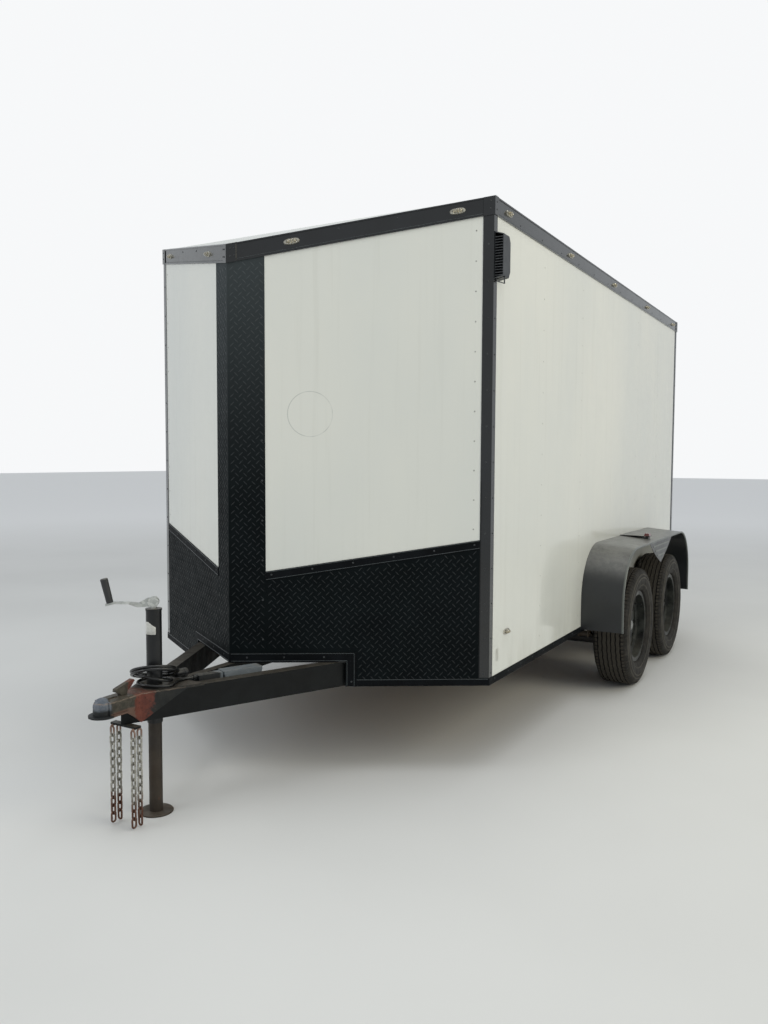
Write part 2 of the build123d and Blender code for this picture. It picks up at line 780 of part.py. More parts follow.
# Upright trim at the front corners and the rear edges
trim_low = trim_top - trim_height
with BuildPart() as corner_trims:
    for side in (-1, 1):
        add(nose_piece(side, band_thick, 0, half - corner_flange_front, half + band_thick,
                       (bottom_band, bottom_band), (trim_low, trim_low - nose_drop)))
        with Locations((side * (half + band_thick / 2), front_y + corner_flange_side / 2,
                        rail_z + (bottom_band + trim_low) / 2)):
            Box(band_thick, corner_flange_side, trim_low - bottom_band)
        with Locations((side * (half + band_thick / 2), rear_y - corner_flange_side / 2,
                        rail_z + (bottom_band + trim_low) / 2)):
            Box(band_thick, corner_flange_side, trim_low - bottom_band)
save(corner_trims.part, "corner_trims")

# Tread plate: the strip bent round the point, and the stone guard under it
guard_top = (guard_corner_height, guard_point_height)
guard_x = half - corner_flange_front
with BuildPart() as nose_strip:
    for side in (-1, 1):
        add(nose_piece(side, guard_thick, 0, 0, strip_reach, guard_top, (trim_low, trim_low - nose_drop)))
save(nose_strip.part, "nose_strip")

with BuildPart() as stone_guard:
    for side in (-1, 1):
        add(nose_piece(side, guard_thick, 0, 0, guard_x, (0, 0), guard_top))
    with Locations((0, point_y, rail_z)):
        Box(2 * cutout_reach, 2 * nose_depth, 2 * cutout_height, mode=Mode.SUBTRACT)
save(stone_guard.part, "stone_guard")

# Bands: over the guard's upper edge, round the opening over the tongue, along the bottom
with BuildPart() as lower_trim:
    for side in (-1, 1):
        proud = guard_thick + band_thick
        band = band_height
        add(nose_piece(side, proud, -guard_thick, strip_reach, guard_x,
                       (guard_corner_height - band, guard_point_height - band), guard_top))
        add(nose_piece(side, proud, -guard_thick, 0, cutout_reach + band,
                       (cutout_height, cutout_height), (cutout_height + band, cutout_height + band)))
        add(nose_piece(side, proud, -guard_thick, cutout_reach, cutout_reach + band,
                       (0, 0), (cutout_height + band, cutout_height + band)))
        add(nose_piece(side, proud, -guard_thick, cutout_reach + band, guard_x,
                       (0, 0), (bottom_band, bottom_band)))
        add(nose_piece(side, proud, 0, guard_x, half + 2 * band_thick, (0, 0), (bottom_band, bottom_band)))
        with Locations((side * (half + band_thick / 2), (front_y + rear_y) / 2, rail_z + bottom_band / 2)):
            Box(band_thick, box_length, bottom_band)
        with Locations((side * (half + band_thick), (front_y + rear_y) / 2, rail_z + 3)):
            Box(2 * band_thick, box_length, 6)
save(lower_trim.part, "lower_trim")

# Side vents: a scoop whose open side faces forward, with level slats in it
vents = (
    # name, side, front edge behind the front corners
    ("left", 1, 4.0),
    ("right", -1, box_length - vent_length - vent_rear_gap),
)
vent_z = roof_z - vent_top_gap - vent_height
slat_step = (vent_height - 2 * vent_sheet) / (vent_slats + 1)
with BuildPart() as side_vents:
    for name, side, vent_front in vents:
        vent_y = front_y + vent_front
        with BuildPart() as scoop:
            with BuildSketch(Plane.XY.offset(vent_z)):
                with BuildLine():
                    Polyline(
                        (side * half, vent_y),
                        (side * (half + vent_proud), vent_y),
                        (side * (half + vent_proud - 3), vent_y + vent_length - 12),
                        (side * half, vent_y + vent_length),
                        close=True,
                    )
                make_face()
            extrude(amount=vent_height)
            # its rear corners are cut back, and its top and bottom close in towards the outside
            with BuildSketch(Plane.YZ):
                with BuildLine():
                    Polyline(
                        (vent_y, vent_z), (vent_y + vent_length - vent_corner, vent_z),
                        (vent_y + vent_length, vent_z + 1.5 * vent_corner),
                        (vent_y + vent_length, vent_z + vent_height - 1.5 * vent_corner),
                        (vent_y + vent_length - vent_corner, vent_z + vent_height), (vent_y, vent_z + vent_height),
                        close=True,
                    )
                make_face()
            extrude(amount=half + vent_proud + 1, both=True, mode=Mode.INTERSECT)
            with BuildSketch(Plane.XZ.offset(-vent_y)):
                with BuildLine():
                    Polyline(
                        (side * half, vent_z), (side * half, vent_z + vent_height),
                        (side * (half + vent_proud), vent_z + vent_height - 14),
                        (side * (half + vent_proud), vent_z + 9),
                        close=True,
                    )
                make_face()
            extrude(amount=-vent_length, mode=Mode.INTERSECT)
            with BuildSketch(Plane.XZ.offset(-vent_y)):
                with BuildLine():
                    Polyline(
                        (side * (half + band_thick + vent_sheet), vent_z + vent_sheet + 2),
                        (side * (half + band_thick + vent_sheet), vent_z + vent_height - vent_sheet - 3),
                        (side * (half + vent_proud - vent_sheet), vent_z + vent_height - vent_sheet - 14),
                        (side * (half + vent_proud - vent_sheet), vent_z + vent_sheet + 9),
                        close=True,
                    )
                make_face()
            extrude(amount=-vent_length / 2, mode=Mode.SUBTRACT)
        add(scoop.part)
        for number in range(1, vent_slats + 1):
            slat_z = vent_z + vent_sheet + number * slat_step
            if vent_z + 13 < slat_z < vent_z + vent_height - 18:
                with Locations((side * (half + vent_proud / 2), vent_y + 7, slat_z)):
                    Box(vent_proud - 2 * vent_sheet, 12, 2.4)
        # the wire bail under it
        with BuildSketch(Plane.XZ.offset(-vent_y - 16)):
            with BuildLine():
                Polyline(
                    (side * half, vent_z + 2), (side * half, vent_z - 6), (side * (half + vent_proud - 3), vent_z - 22),
                    (side * (half + vent_proud), vent_z - 20), (side * (half + vent_proud), vent_z + 12),
                    close=True,
                )
            make_face()
            with BuildLine():
                Polyline(
                    (side * (half + 4), vent_z - 1), (side * (half + 4), vent_z - 4),
                    (side * (half + vent_proud - 5), vent_z - 17), (side * (half + vent_proud - 4), vent_z + 6),
                    close=True,
                )
            make_face(mode=Mode.SUBTRACT)
        extrude(amount=-4)
    # step over the flange of the front corner's trim
    with Locations((half + band_thick / 2, front_y + corner_flange_side / 2, vent_z + vent_height / 2)):
        Box(band_thick, corner_flange_side, vent_height + 80, mode=Mode.SUBTRACT)
save(side_vents.part, "side_vents")

# Lamps: an oval base with a domed lens, one form for every place
with BuildPart() as lamp:
    with BuildSketch():
        SlotOverall(lamp_length, lamp_height)
    extrude(amount=lamp_base)
    with BuildSketch(Plane.XY.offset(lamp_base)):
        Ellipse(lamp_height * 0.62, lamp_height / 2 - 2)
    extrude(amount=lamp_dome, taper=22)

lamp_z = rail_z + trim_top - trim_height / 2
side_lamp_step = (box_length - side_lamp_front - side_lamp_back) / (side_lamp_count - 1)
side_lamps = [side_lamp_front + number * side_lamp_step for number in range(side_lamp_count)]
nose_lamps = (220.0, half - nose_lamp_gap)                # from the middle, along X
rear_lamps = (rear_lamp_gap - half, -lamp_spacing, 0.0, lamp_spacing, half - rear_lamp_gap)
low_lamp_back = 189.0
low_lamp_height = 198.0
with BuildPart() as marker_lamps:
    for side in (-1, 1):
        for back in side_lamps:
            with Locations(Plane((side * (half + trim_thick), front_y + back, lamp_z), (0, 1, 0), (side, 0, 0))):
                add(lamp.part)
        for along in nose_lamps:
            rise = along * nose_depth / half
            face_x = side * (nose_depth / nose_length)
            face_y = -half / nose_length
            spot_y = point_y + rise
            spot_z = lamp_z - nose_drop * (front_y - spot_y) / nose_depth
            spot = (side * along + face_x * trim_thick, spot_y + face_y * trim_thick, spot_z)
            with Locations(Plane(spot, (side * half, nose_depth, nose_drop), (face_x, face_y, 0))):
                add(lamp.part)
        with Locations(Plane((side * half, front_y + low_lamp_back, rail_z + low_lamp_height),
                             (0, 1, 0), (side, 0, 0))):
            add(lamp.part)
    for across in rear_lamps:
        with Locations(Plane((across, rear_y + trim_thick, lamp_z), (1, 0, 0), (0, 1, 0))):
            add(lamp.part)
save(marker_lamps.part, "marker_lamps")

# Tail lamps on the rear posts, and the small lamp on each fender's bracket
tail_lamp_width = 46.0
tail_lamp_height = 165.0
tail_lamp_thick = 16.0
tail_lamp_low = 430.0
fender_lamp_back = 2110.0
fender_lamp_out = 166.0
with BuildPart() as tail_lamps:
    for side in (-1, 1):
        with BuildSketch(Plane.XZ.offset(-rear_y)):
            with Locations((side * (half - rear_post_width / 2), rail_z + tail_lamp_low + tail_lamp_height / 2)):
                RectangleRounded(tail_lamp_width, tail_lamp_height, 12)
        extrude(amount=-tail_lamp_thick)
        with BuildSketch(Plane.XY.offset(rail_z + fender_high + 4)):
            with Locations((side * (half + fender_lamp_out), front_y + fender_lamp_back)):
                Rectangle(34, 56)
        extrude(amount=16, taper=20)
save(tail_lamps.part, "tail_lamps")

# Fenders: a rolled sheet over both wheels, with a ribbed skirt between them
fender_front = axle_y - fender_length / 2
fender_back = axle_y + fender_length / 2


def fender_arch(high, inset):
    """Draws the arch in the open line: legs, two corner curves and a flat top. Returns its ends."""
    a = fender_front + inset
    b = fender_back - inset
    top = rail_z + high - inset
    low = rail_z + fender_low
    curve = fender_curve - inset
    k = curve * (1 - cos(pi / 4))
    Line((a, low), (a, top - curve))
    ThreePointArc((a, top - curve), (a + k, top - k), (a + curve, top))
    Line((a + curve, top), (b - curve, top))
    ThreePointArc((b - curve, top), (b - k, top - k), (b, top - curve))
    Line((b, top - curve), (b, low))
    return (a, low), (b, low)


skirt_drop = 145.0
skirt_half = 320.0
skirt_ribs = 3
rib_step = 32.0
for name, side in (("fender_left", 1), ("fender_right", -1)):
    with BuildPart() as fender:
        for place, high in ((half, fender_high), (half + fender_width - fender_lip, fender_high - fender_fall)):
            with BuildSketch(Plane.YZ.offset(side * place)):
                with BuildLine():
                    outer_ends = fender_arch(high, 0)
                    inner_ends = fender_arch(high, fender_sheet)
                    Line(outer_ends[0], inner_ends[0])
                    Line(outer_ends[1], inner_ends[1])
                make_face()
        loft()
        # rolled lip along the outer edge
        lip_x = side * (half + fender_width - fender_lip)
        with BuildLine(Plane.YZ.offset(lip_x)) as lip_line:
            lip_ends = fender_arch(fender_high - fender_fall, fender_lip / 2)
        with BuildSketch(Plane((lip_x, *lip_ends[0]), x_dir=(1, 0, 0), z_dir=(0, 0, 1))):
            RegularPolygon(fender_lip, 8, rotation=22.5)
        sweep(path=lip_line.line)
        # room for the band along the bottom of the wall
        with Locations((side * (half + band_thick / 2), axle_y, rail_z + bottom_band / 2)):
            Box(band_thick, fender_length + 20, bottom_band, mode=Mode.SUBTRACT)
        # skirt between the wheels, with level ribs pressed in it
        skirt_top = rail_z + fender_high - fender_fall - 1
        skirt_low = skirt_top - skirt_drop
        skirt_plane = Plane.YZ.offset(side * (half + fender_width - fender_lip - 1))
        with BuildSketch(skirt_plane):
            with BuildLine():
                ThreePointArc((axle_y - skirt_half, skirt_top),
                              (axle_y - skirt_half * 0.45, skirt_top - skirt_drop * 0.62), (axle_y, skirt_low))
                ThreePointArc((axle_y, skirt_low),
                              (axle_y + skirt_half * 0.45, skirt_top - skirt_drop * 0.62), (axle_y + skirt_half, skirt_top))
                Line((axle_y + skirt_half, skirt_top), (axle_y - skirt_half, skirt_top))
            make_face()
        extrude(amount=side * fender_sheet)
        for number in range(1, skirt_ribs + 1):
            depth = number * rib_step
            rib_half = skirt_half * (1 - depth / skirt_drop) * 0.86
            with Locations((side * (half + fender_width - fender_lip + 1.5), axle_y, skirt_top - depth)):
                Box(3, 2 * rib_half, 8)
        # small plate on its top, which carries a lamp
        with BuildSketch(Plane.XY.offset(rail_z + fender_high + 1)):
            with BuildLine():
                Polyline(
                    (side * half, front_y + fender_lamp_back - 20),
                    (side * (half + fender_lamp_out + 20), front_y + fender_lamp_back - 32),
                    (side * (half + fender_lamp_out + 20), front_y + fender_lamp_back + 32),
                    (side * half, front_y + fender_lamp_back + 330),
                    close=True,
                )
            make_face()
        extrude(amount=3)
        with Locations((side * (half + fender_lamp_out), front_y + fender_lamp_back, rail_z + fender_high - 8)):
            Box(20, 40, 20)
    save(fender.part, name)

# Wheels: each form is made once about the X axis, facing +X, then set in its four places
wheels = (
    # name, side, place along Y
    ("front_left", 1, axle_y - axle_spread / 2),
    ("rear_left", 1, axle_y + axle_spread / 2),
    ("front_right", -1, axle_y - axle_spread / 2),
    ("rear_right", -1, axle_y + axle_spread / 2),
)
half_tyre = tyre_width / 2
tread_half = half_tyre - 20
bead_half = rim_width / 2 - rim_sheet - seat_gap
bead_top = rim_radius + 3
tyre_bore = rim_seat_radius + seat_gap
sidewall_mid = (tyre_bore + tyre_radius) / 2 + 8
with BuildPart() as tyre_form:
    with BuildSketch():
        with BuildLine():
            Polyline(
                # inside, from bead to bead
                (-bead_half, tyre_bore), (-bead_half + 18, tyre_bore),
                (-half_tyre + 14, tyre_radius - 80), (-tread_half + 6, tyre_radius - 16),
                (tread_half - 6, tyre_radius - 16), (half_tyre - 14, tyre_radius - 80),
                (bead_half - 18, tyre_bore), (bead_half, tyre_bore),
                (bead_half, bead_top),
                # outside: the bulge of the sidewall, the shoulder and the tread
                (half_tyre - 10, bead_top + 30), (half_tyre, sidewall_mid - 10), (half_tyre, sidewall_mid + 16),
                (tread_half + 9, tyre_radius - 18), (tread_half, tyre_radius - 5), (tread_half * 0.5, tyre_radius),
                (-tread_half * 0.5, tyre_radius), (-tread_half, tyre_radius - 5), (-tread_half - 9, tyre_radius - 18),
                (-half_tyre, sidewall_mid + 16), (-half_tyre, sidewall_mid - 10), (-half_tyre + 10, bead_top + 30),
                (-bead_half, bead_top),
                close=True,
            )
        make_face()
    revolve(axis=Axis.X)

half_rim = rim_width / 2
rim_inner = rim_seat_radius - rim_sheet
hand_holes = 10
hand_hole_radius = 13.0
hand_hole_circle = 134.0
centre_bore = 42.0
with BuildPart() as rim_form:
    with BuildSketch():
        with BuildLine():
            Polyline(
                (-half_rim, rim_radius), (-half_rim + 4, rim_radius), (-half_rim + 4, rim_seat_radius),
                (-24, rim_seat_radius), (-14, rim_seat_radius - 20), (22, rim_seat_radius - 20),
                (32, rim_seat_radius), (half_rim - 4, rim_seat_radius), (half_rim - 4, rim_radius),
                (half_rim, rim_radius), (half_rim, rim_inner), (34, rim_inner), (24, rim_inner - 20),
                (-16, rim_inner - 20), (-26, rim_inner), (-half_rim, rim_inner),
                close=True,
            )
        make_face()
        # the dished centre
        with BuildLine():
            Polyline(
                (0, centre_bore), (0, 82), (16, 100), (23, 118), (23, 150), (2, rim_inner - 18),
                (2 - rim_sheet, rim_inner - 18), (23 - rim_sheet, 148), (23 - rim_sheet, 120), (12, 103),
                (-rim_sheet, 85), (-rim_sheet, centre_bore),
                close=True,
            )
        make_face()
    revolve(axis=Axis.X)
    with BuildSketch(Plane.YZ.offset(-20)):
        with PolarLocations(hand_hole_circle, hand_holes):
            Circle(hand_hole_radius)
    extrude(amount=60, mode=Mode.SUBTRACT)

lug_count = 5
lug_circle = 57.15
lug_radius = 10.5
lug_height = 18.0
hub_radius = 38.0
cap_radius = 33.0
cap_height = 46.0
hub_bore = spindle_radius + spindle_gap
drum_face = rim_sheet + seat_gap
with BuildPart() as hub_form:
    with BuildSketch():
        with BuildLine():
            Polyline(
                (-drum_face - drum_depth, drum_radius), (-drum_face, drum_radius), (-drum_face, hub_radius),
                (6, hub_radius), (6, cap_radius), (cap_height - 8, cap_radius), (cap_height, cap_radius - 12),
                (cap_height, 0), (24, 0), (24, hub_bore), (-drum_face - drum_depth + 4, hub_bore),
                (-drum_face - drum_depth + 4, hub_radius), (-drum_face - 9, hub_radius),
                (-drum_face - 9, drum_radius - 8), (-drum_face - drum_depth, drum_radius - 8),
                close=True,
            )
        make_face()
    revolve(axis=Axis.X)
    with BuildSketch(Plane.YZ.offset(0.2)):
        with PolarLocations(lug_circle, lug_count):
            RegularPolygon(lug_radius, 6)
    extrude(amount=lug_height)

for name, side, along in wheels:
    spot = Location((side * wheel_x, along, tyre_radius), (0, 0, 0 if side > 0 else 180))
    for kind, form in (("tyre", tyre_form), ("rim", rim_form), ("hub", hub_form)):
        with BuildPart() as piece:
            with Locations(spot):
                add(form.part)
        save(piece.part, kind + "_" + name)

# Axles: a dropped tube, its bent ends, spindles, backing plates and spring seats
beam_z = tyre_radius - axle_drop
arm_x_mid = half + 18
arm_thick = 20.0
spindle_start = arm_x_mid + 8
spindle_length = wheel_x + 22 - spindle_start
spring_x = rail_x
plate_radius = drum_radius - 12
with BuildPart() as axles:
    for along in (axle_y - axle_spread / 2, axle_y + axle_spread / 2):
        with Locations(Location((0, along, beam_z), (0, 90, 0))):
            Cylinder(axle_radius, 2 * arm_x_mid)
        for side in (-1, 1):
            with BuildSketch(Plane.YZ.offset(side * (arm_x_mid - arm_thick / 2))):
                with Locations((along, (beam_z + tyre_radius) / 2)):
                    SlotCenterToCenter(axle_drop, 2 * axle_radius + 4, rotation=90)
            extrude(amount=side * arm_thick)
            with Locations(Location((side * (spindle_start + spindle_length / 2), along, tyre_radius), (0, 90, 0))):
                Cylinder(spindle_radius, spindle_length)
            with Locations(Location((side * (wheel_x - drum_face - drum_depth - 5), along, tyre_radius), (0, 90, 0))):
                Cylinder(plate_radius, 4)
            with Locations((side * spring_x, along, beam_z + axle_radius - 1)):
                Box(spring_width + 18, 90, 14)
save(axles.part, "axles")

# Leaf springs on the axles, with their hangers under the rails and an equalizer between them
spring_half = 320.0
spring_arch = 32.0
eye_radius = 15.0
hanger_thick = 6.0
hanger_gap = 1.0
seat_z = beam_z + axle_radius + 6
curve_radius = (spring_half ** 2 + spring_arch ** 2) / (2 * spring_arch)
pack = spring_count * spring_leaf
curve_z = seat_z + pack + curve_radius
eye_z = curve_z - cos(spring_half / curve_radius) * curve_radius - spring_leaf / 2
shackle_y = axle_spread / 2 - spring_half
with BuildPart() as leaf_springs:
    for side in (-1, 1):
        for along in (axle_y - axle_spread / 2, axle_y + axle_spread / 2):
            for leaf in range(spring_count):
                reach = spring_half * (1 - 0.23 * leaf)
                with BuildSketch(Plane.YZ.offset(side * spring_x - spring_width / 2)):
                    with Locations((along, curve_z)):
                        Circle(curve_radius + (leaf + 1) * spring_leaf)
                        Circle(curve_radius + leaf * spring_leaf, mode=Mode.SUBTRACT)
                    with Locations((along, seat_z + pack)):
                        Rectangle(2 * reach, 2 * (pack + spring_arch) + 20, mode=Mode.INTERSECT)
                extrude(amount=spring_width)
        # eyes, and the hangers they are bolted in
        for eye_y in (-axle_spread / 2 - spring_half, -shackle_y, shackle_y, axle_spread / 2 + spring_half):
            with Locations(Location((side * spring_x, axle_y + eye_y, eye_z), (0, 90, 0))):
                Cylinder(eye_radius, spring_width)
                Cylinder(7, spring_width + 2 * (hanger_gap + hanger_thick) + 8)
        plate_out = spring_width / 2 + hanger_gap + hanger_thick / 2
        for cheek in (-1, 1):
            for hanger_y in (-axle_spread / 2 - spring_half, axle_spread / 2 + spring_half):
                with Locations((side * spring_x + cheek * plate_out, axle_y + hanger_y, (rail_z + eye_z - 18) / 2)):
                    Box(hanger_thick, 50, rail_z - eye_z + 18)
            with BuildSketch(Plane.YZ.offset(side * spring_x + cheek * plate_out - hanger_thick / 2)):
                with BuildLine():
                    Polyline(
                        (axle_y - shackle_y - 22, eye_z - 16), (axle_y - shackle_y - 22, eye_z + 12),
                        (axle_y - 26, rail_z), (axle_y + 26, rail_z),
                        (axle_y + shackle_y + 22, eye_z + 12), (axle_y + shackle_y + 22, eye_z - 16),
                        (axle_y, eye_z + 4),
                        close=True,
                    )
                make_face()
            extrude(amount=hanger_thick)
save(leaf_springs.part, "leaf_springs")

# Number plate bracket, low on the rear cross member
with BuildPart() as plate_bracket:
    with BuildSketch(Plane.XZ.offset(-rear_y)):
        with Locations((plate_x, plate_mid_z)):
            RectangleRounded(plate_width, plate_height, 8)
            with GridLocations(plate_hole_spacing, 0, 2, 1):
                Circle(plate_hole_radius, mode=Mode.SUBTRACT)
    extrude(amount=-plate_thick)
save(plate_bracket.part, "plate_bracket")

# Side door's fixed frame, with the outer knuckles and pins of its three hinges
hinge_x = -(half + frame_proud + hinge_radius + knuckle_gap)
hinge_y = front_y + side_door_front - door_gap / 2
side_hinges = (0.14, 0.5, 0.86)       # share of the door's height
fixed_knuckle = 22.0
moving_knuckle = 34.0
knuckle_far = moving_knuckle / 2 + knuckle_gap + fixed_knuckle
with BuildPart() as door_frame:
    with BuildSketch(Plane.YZ.offset(-half)):
        with Locations((door_mid_y, door_mid_z)):
            Rectangle(side_door_width + 2 * frame_band, side_door_height + 2 * frame_band)
            Rectangle(side_door_width, side_door_height, mode=Mode.SUBTRACT)
    extrude(amount=-frame_proud)
    for share in side_hinges:
        mid_z = door_low + share * side_door_height
        for way in (-1, 1):
            knuckle_z = mid_z + way * (knuckle_far - fixed_knuckle / 2)
            with Locations((hinge_x, hinge_y, knuckle_z)):
                Cylinder(hinge_radius, fixed_knuckle)
            with Locations((-half - frame_proud - 1.5, hinge_y - 16, knuckle_z)):
                Box(3, 32, fixed_knuckle)
        with Locations((hinge_x, hinge_y, mid_z)):
            Cylinder(hinge_pin, 2 * knuckle_far)
save(door_frame.part, "door_frame")

# Side door: the leaf, its edge trim, and its latch and hinge leaves
leaf_width = side_door_width - 2 * door_gap
leaf_height = side_door_height - 2 * door_gap
door_face = half + 0.5
with BuildPart() as door_panel:
    with Locations((-door_face + wall_thick / 2, door_mid_y, door_mid_z)):
        Box(wall_thick, leaf_width, leaf_height)
save(door_panel.part, "door_panel")

edge_band = 26.0
with BuildPart() as door_trim:
    with BuildSketch(Plane.YZ.offset(-door_face)):
        with Locations((door_mid_y, door_mid_z)):
            Rectangle(leaf_width, leaf_height)
            Rectangle(leaf_width - 2 * edge_band, leaf_height - 2 * edge_band, mode=Mode.SUBTRACT)
    extrude(amount=-2.5)
save(door_trim.part, "door_trim")

latch_height = 150.0
latch_width = 95.0
latch_z = door_low + 0.52 * side_door_height
with BuildPart() as door_hardware:
    with BuildSketch(Plane.YZ.offset(-door_face)):
        with Locations((door_mid_y + leaf_width / 2 - edge_band - 12 - latch_width / 2, latch_z)):
            RectangleRounded(latch_width, latch_height, 10)
    extrude(amount=-5)
    with BuildSketch(Plane.YZ.offset(-door_face - 5)):
        with Locations((door_mid_y + leaf_width / 2 - edge_band - 12 - latch_width / 2, latch_z)):
            RectangleRounded(latch_width - 36, latch_height - 30, 8)
            with Locations((0, -34)):
                Circle(11)
    extrude(amount=-14, taper=12)
    for share in side_hinges:
        mid_z = door_low + share * side_door_height
        with Locations((hinge_x, hinge_y, mid_z)):
            Cylinder(hinge_radius, moving_knuckle)
        with Locations((-door_face - 4.5, hinge_y + 24, mid_z)):
            Box(4, 41, moving_knuckle)
        with Locations((hinge_x, hinge_y, mid_z)):
            Cylinder(hinge_pin + hinge_pin_gap, moving_knuckle + 2, mode=Mode.SUBTRACT)
save(door_hardware.part, "door_hardware")

# Ramp door: the leaf, its edge trim, its lock bars and hinge leaves
ramp_width = 2 * (ramp_half - door_gap)
ramp_height = ramp_high - ramp_low
ramp_mid_z = (ramp_low + ramp_high) / 2
with BuildPart() as ramp_panel:
    with Locations((0, rear_y - wall_thick / 2, ramp_mid_z)):
        Box(ramp_width, wall_thick, ramp_height)
save(ramp_panel.part, "ramp_panel")

with BuildPart() as ramp_trim:
    with BuildSketch(Plane.XZ.offset(-rear_y)):
        with Locations((0, ramp_mid_z)):
            Rectangle(ramp_width, ramp_height)
            Rectangle(ramp_width - 90, ramp_height - 90, mode=Mode.SUBTRACT)
    extrude(amount=-ramp_trim_thick)
save(ramp_trim.part, "ramp_trim")

ramp_axis_y = rear_y + ramp_trim_thick + hinge_radius + knuckle_gap
ramp_axis_z = ramp_low - door_gap / 2
ramp_hinges = [side * (ramp_hinge_x - inward) for side in (-1, 1) for inward in (0, ramp_hinge_spacing)]
lock_bar_x = ramp_half - lock_bar_gap
lock_bar_low = ramp_low + 160
lock_bar_high = ceiling_z - header_height + 50
with BuildPart() as ramp_hinges_fixed:
    for across in ramp_hinges:
        for way in (-1, 1):
            knuckle_x = across + way * (knuckle_far - fixed_knuckle / 2)
            with Locations(Location((knuckle_x, ramp_axis_y, ramp_axis_z), (0, 90, 0))):
                Cylinder(hinge_radius, fixed_knuckle)
            with Locations((knuckle_x, rear_y + 2, ramp_axis_z - 30)):
                Box(fixed_knuckle, 4, 60)
        with Locations(Location((across, ramp_axis_y, ramp_axis_z), (0, 90, 0))):
            Cylinder(hinge_pin, 2 * knuckle_far)
    # keepers on the header, an ear each side of the lock bar's end
    for side in (-1, 1):
        for ear in (-1, 1):
            with Locations((side * lock_bar_x + ear * 24, rear_y + 22, lock_bar_high - 18)):
                Box(6, 44, 44)
save(ramp_hinges_fixed.part, "ramp_hinges_fixed")

with BuildPart() as ramp_hardware:
    for side in (-1, 1):
        bar_y = rear_y + lock_bar_out
        with Locations((side * lock_bar_x, bar_y, (lock_bar_low + lock_bar_high) / 2)):
            Cylinder(lock_bar_radius, lock_bar_high - lock_bar_low)
        for share in (0.04, 0.36, 0.93):
            with Locations((side * lock_bar_x, rear_y + lock_bar_out / 2,
                            lock_bar_low + share * (lock_bar_high - lock_bar_low - 80))):
                Box(60, lock_bar_out, 46)
        handle_z = ramp_low + 640
        with Locations((side * (lock_bar_x - 150), bar_y + lock_bar_radius + lock_handle_thick / 2 - 1, handle_z)):
            Box(330, lock_handle_thick, 30)
        with Locations((side * (lock_bar_x - 300), rear_y + (lock_bar_out + lock_bar_radius) / 2, handle_z)):
            Box(44, lock_bar_out + lock_bar_radius, 60)
    for across in ramp_hinges:
        with Locations(Location((across, ramp_axis_y, ramp_axis_z), (0, 90, 0))):
            Cylinder(hinge_radius, moving_knuckle)
        with Locations((across, rear_y + 4, ramp_axis_z + 36)):
            Box(moving_knuckle, 4, 72)
        with Locations(Location((across, ramp_axis_y, ramp_axis_z), (0, 90, 0))):
            Cylinder(hinge_pin + hinge_pin_gap, moving_knuckle + 2, mode=Mode.SUBTRACT)
save(ramp_hardware.part, "ramp_hardware")
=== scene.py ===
# Looks for the V-nose box trailer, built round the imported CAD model.
# Metres, in the CAD's own frame: +Z up, the nose points to -Y, +X is the trailer's left side.

import math
import random

import bmesh
import bpy
from mathutils import Matrix, Vector


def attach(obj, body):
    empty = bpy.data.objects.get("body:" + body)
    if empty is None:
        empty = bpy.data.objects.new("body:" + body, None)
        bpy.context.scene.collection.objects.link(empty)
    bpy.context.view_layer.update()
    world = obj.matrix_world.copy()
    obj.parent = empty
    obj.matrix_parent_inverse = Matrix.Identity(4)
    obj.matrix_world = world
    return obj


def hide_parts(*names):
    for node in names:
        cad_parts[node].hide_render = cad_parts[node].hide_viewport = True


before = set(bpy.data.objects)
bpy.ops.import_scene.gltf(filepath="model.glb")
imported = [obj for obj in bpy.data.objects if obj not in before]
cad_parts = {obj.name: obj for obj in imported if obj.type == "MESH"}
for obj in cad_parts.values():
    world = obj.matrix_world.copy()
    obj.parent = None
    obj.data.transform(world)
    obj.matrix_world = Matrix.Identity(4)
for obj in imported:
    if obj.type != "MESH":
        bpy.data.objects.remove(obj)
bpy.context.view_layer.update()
rng = random.Random(11)
scene = bpy.context.scene

# Places in the CAD's frame
HALF = 0.9145  # half the box's width
FRONT = -1.20575  # where the side walls meet the nose
REAR = 2.45225
DEPTH = 0.578  # of the nose
POINT = FRONT - DEPTH
FACE = math.hypot(HALF, DEPTH)  # the width of one nose face
SLANT = FACE / HALF
RAIL = 0.373  # the rails' top; the heights below are over it
HEIGHT = 2.018
DROP = 0.208  # the roof line's fall over the nose
TRIM_TOP = HEIGHT + 0.003
TRIM_LOW = TRIM_TOP - 0.074
STRIP = 0.127  # half width of the tread plate on the point
GUARD_X = HALF - 0.036  # the stone guard's outer edge
GUARD_TOP = (0.621, 0.462)  # its top at the corner and at the point
CUT_X, CUT_Z = 0.408, 0.106  # the opening over the tongue
BAND = 0.037
# how far each face stands out from the wall
GUARD_OUT, FLANGE_OUT, TRIM_OUT, BAND_OUT, CAP_OUT = 0.0015, 0.002, 0.003, 0.0035, 0.0065
JACK_Y = -2.20875
PLATE_Z = 0.481  # the coupler plate's top, over the ground
WHEEL_X = 1.0325
TYRE_R = 0.3445
AXLES_Y, AXLE_OFF = 0.99925, 0.432  # midway between the axles, and each one's way off
WHEELS = [(name + label, side, AXLES_Y + way * AXLE_OFF)
          for label, side in (("left", 1), ("right", -1))
          for name, way in (("front_", -1), ("rear_", 1))]

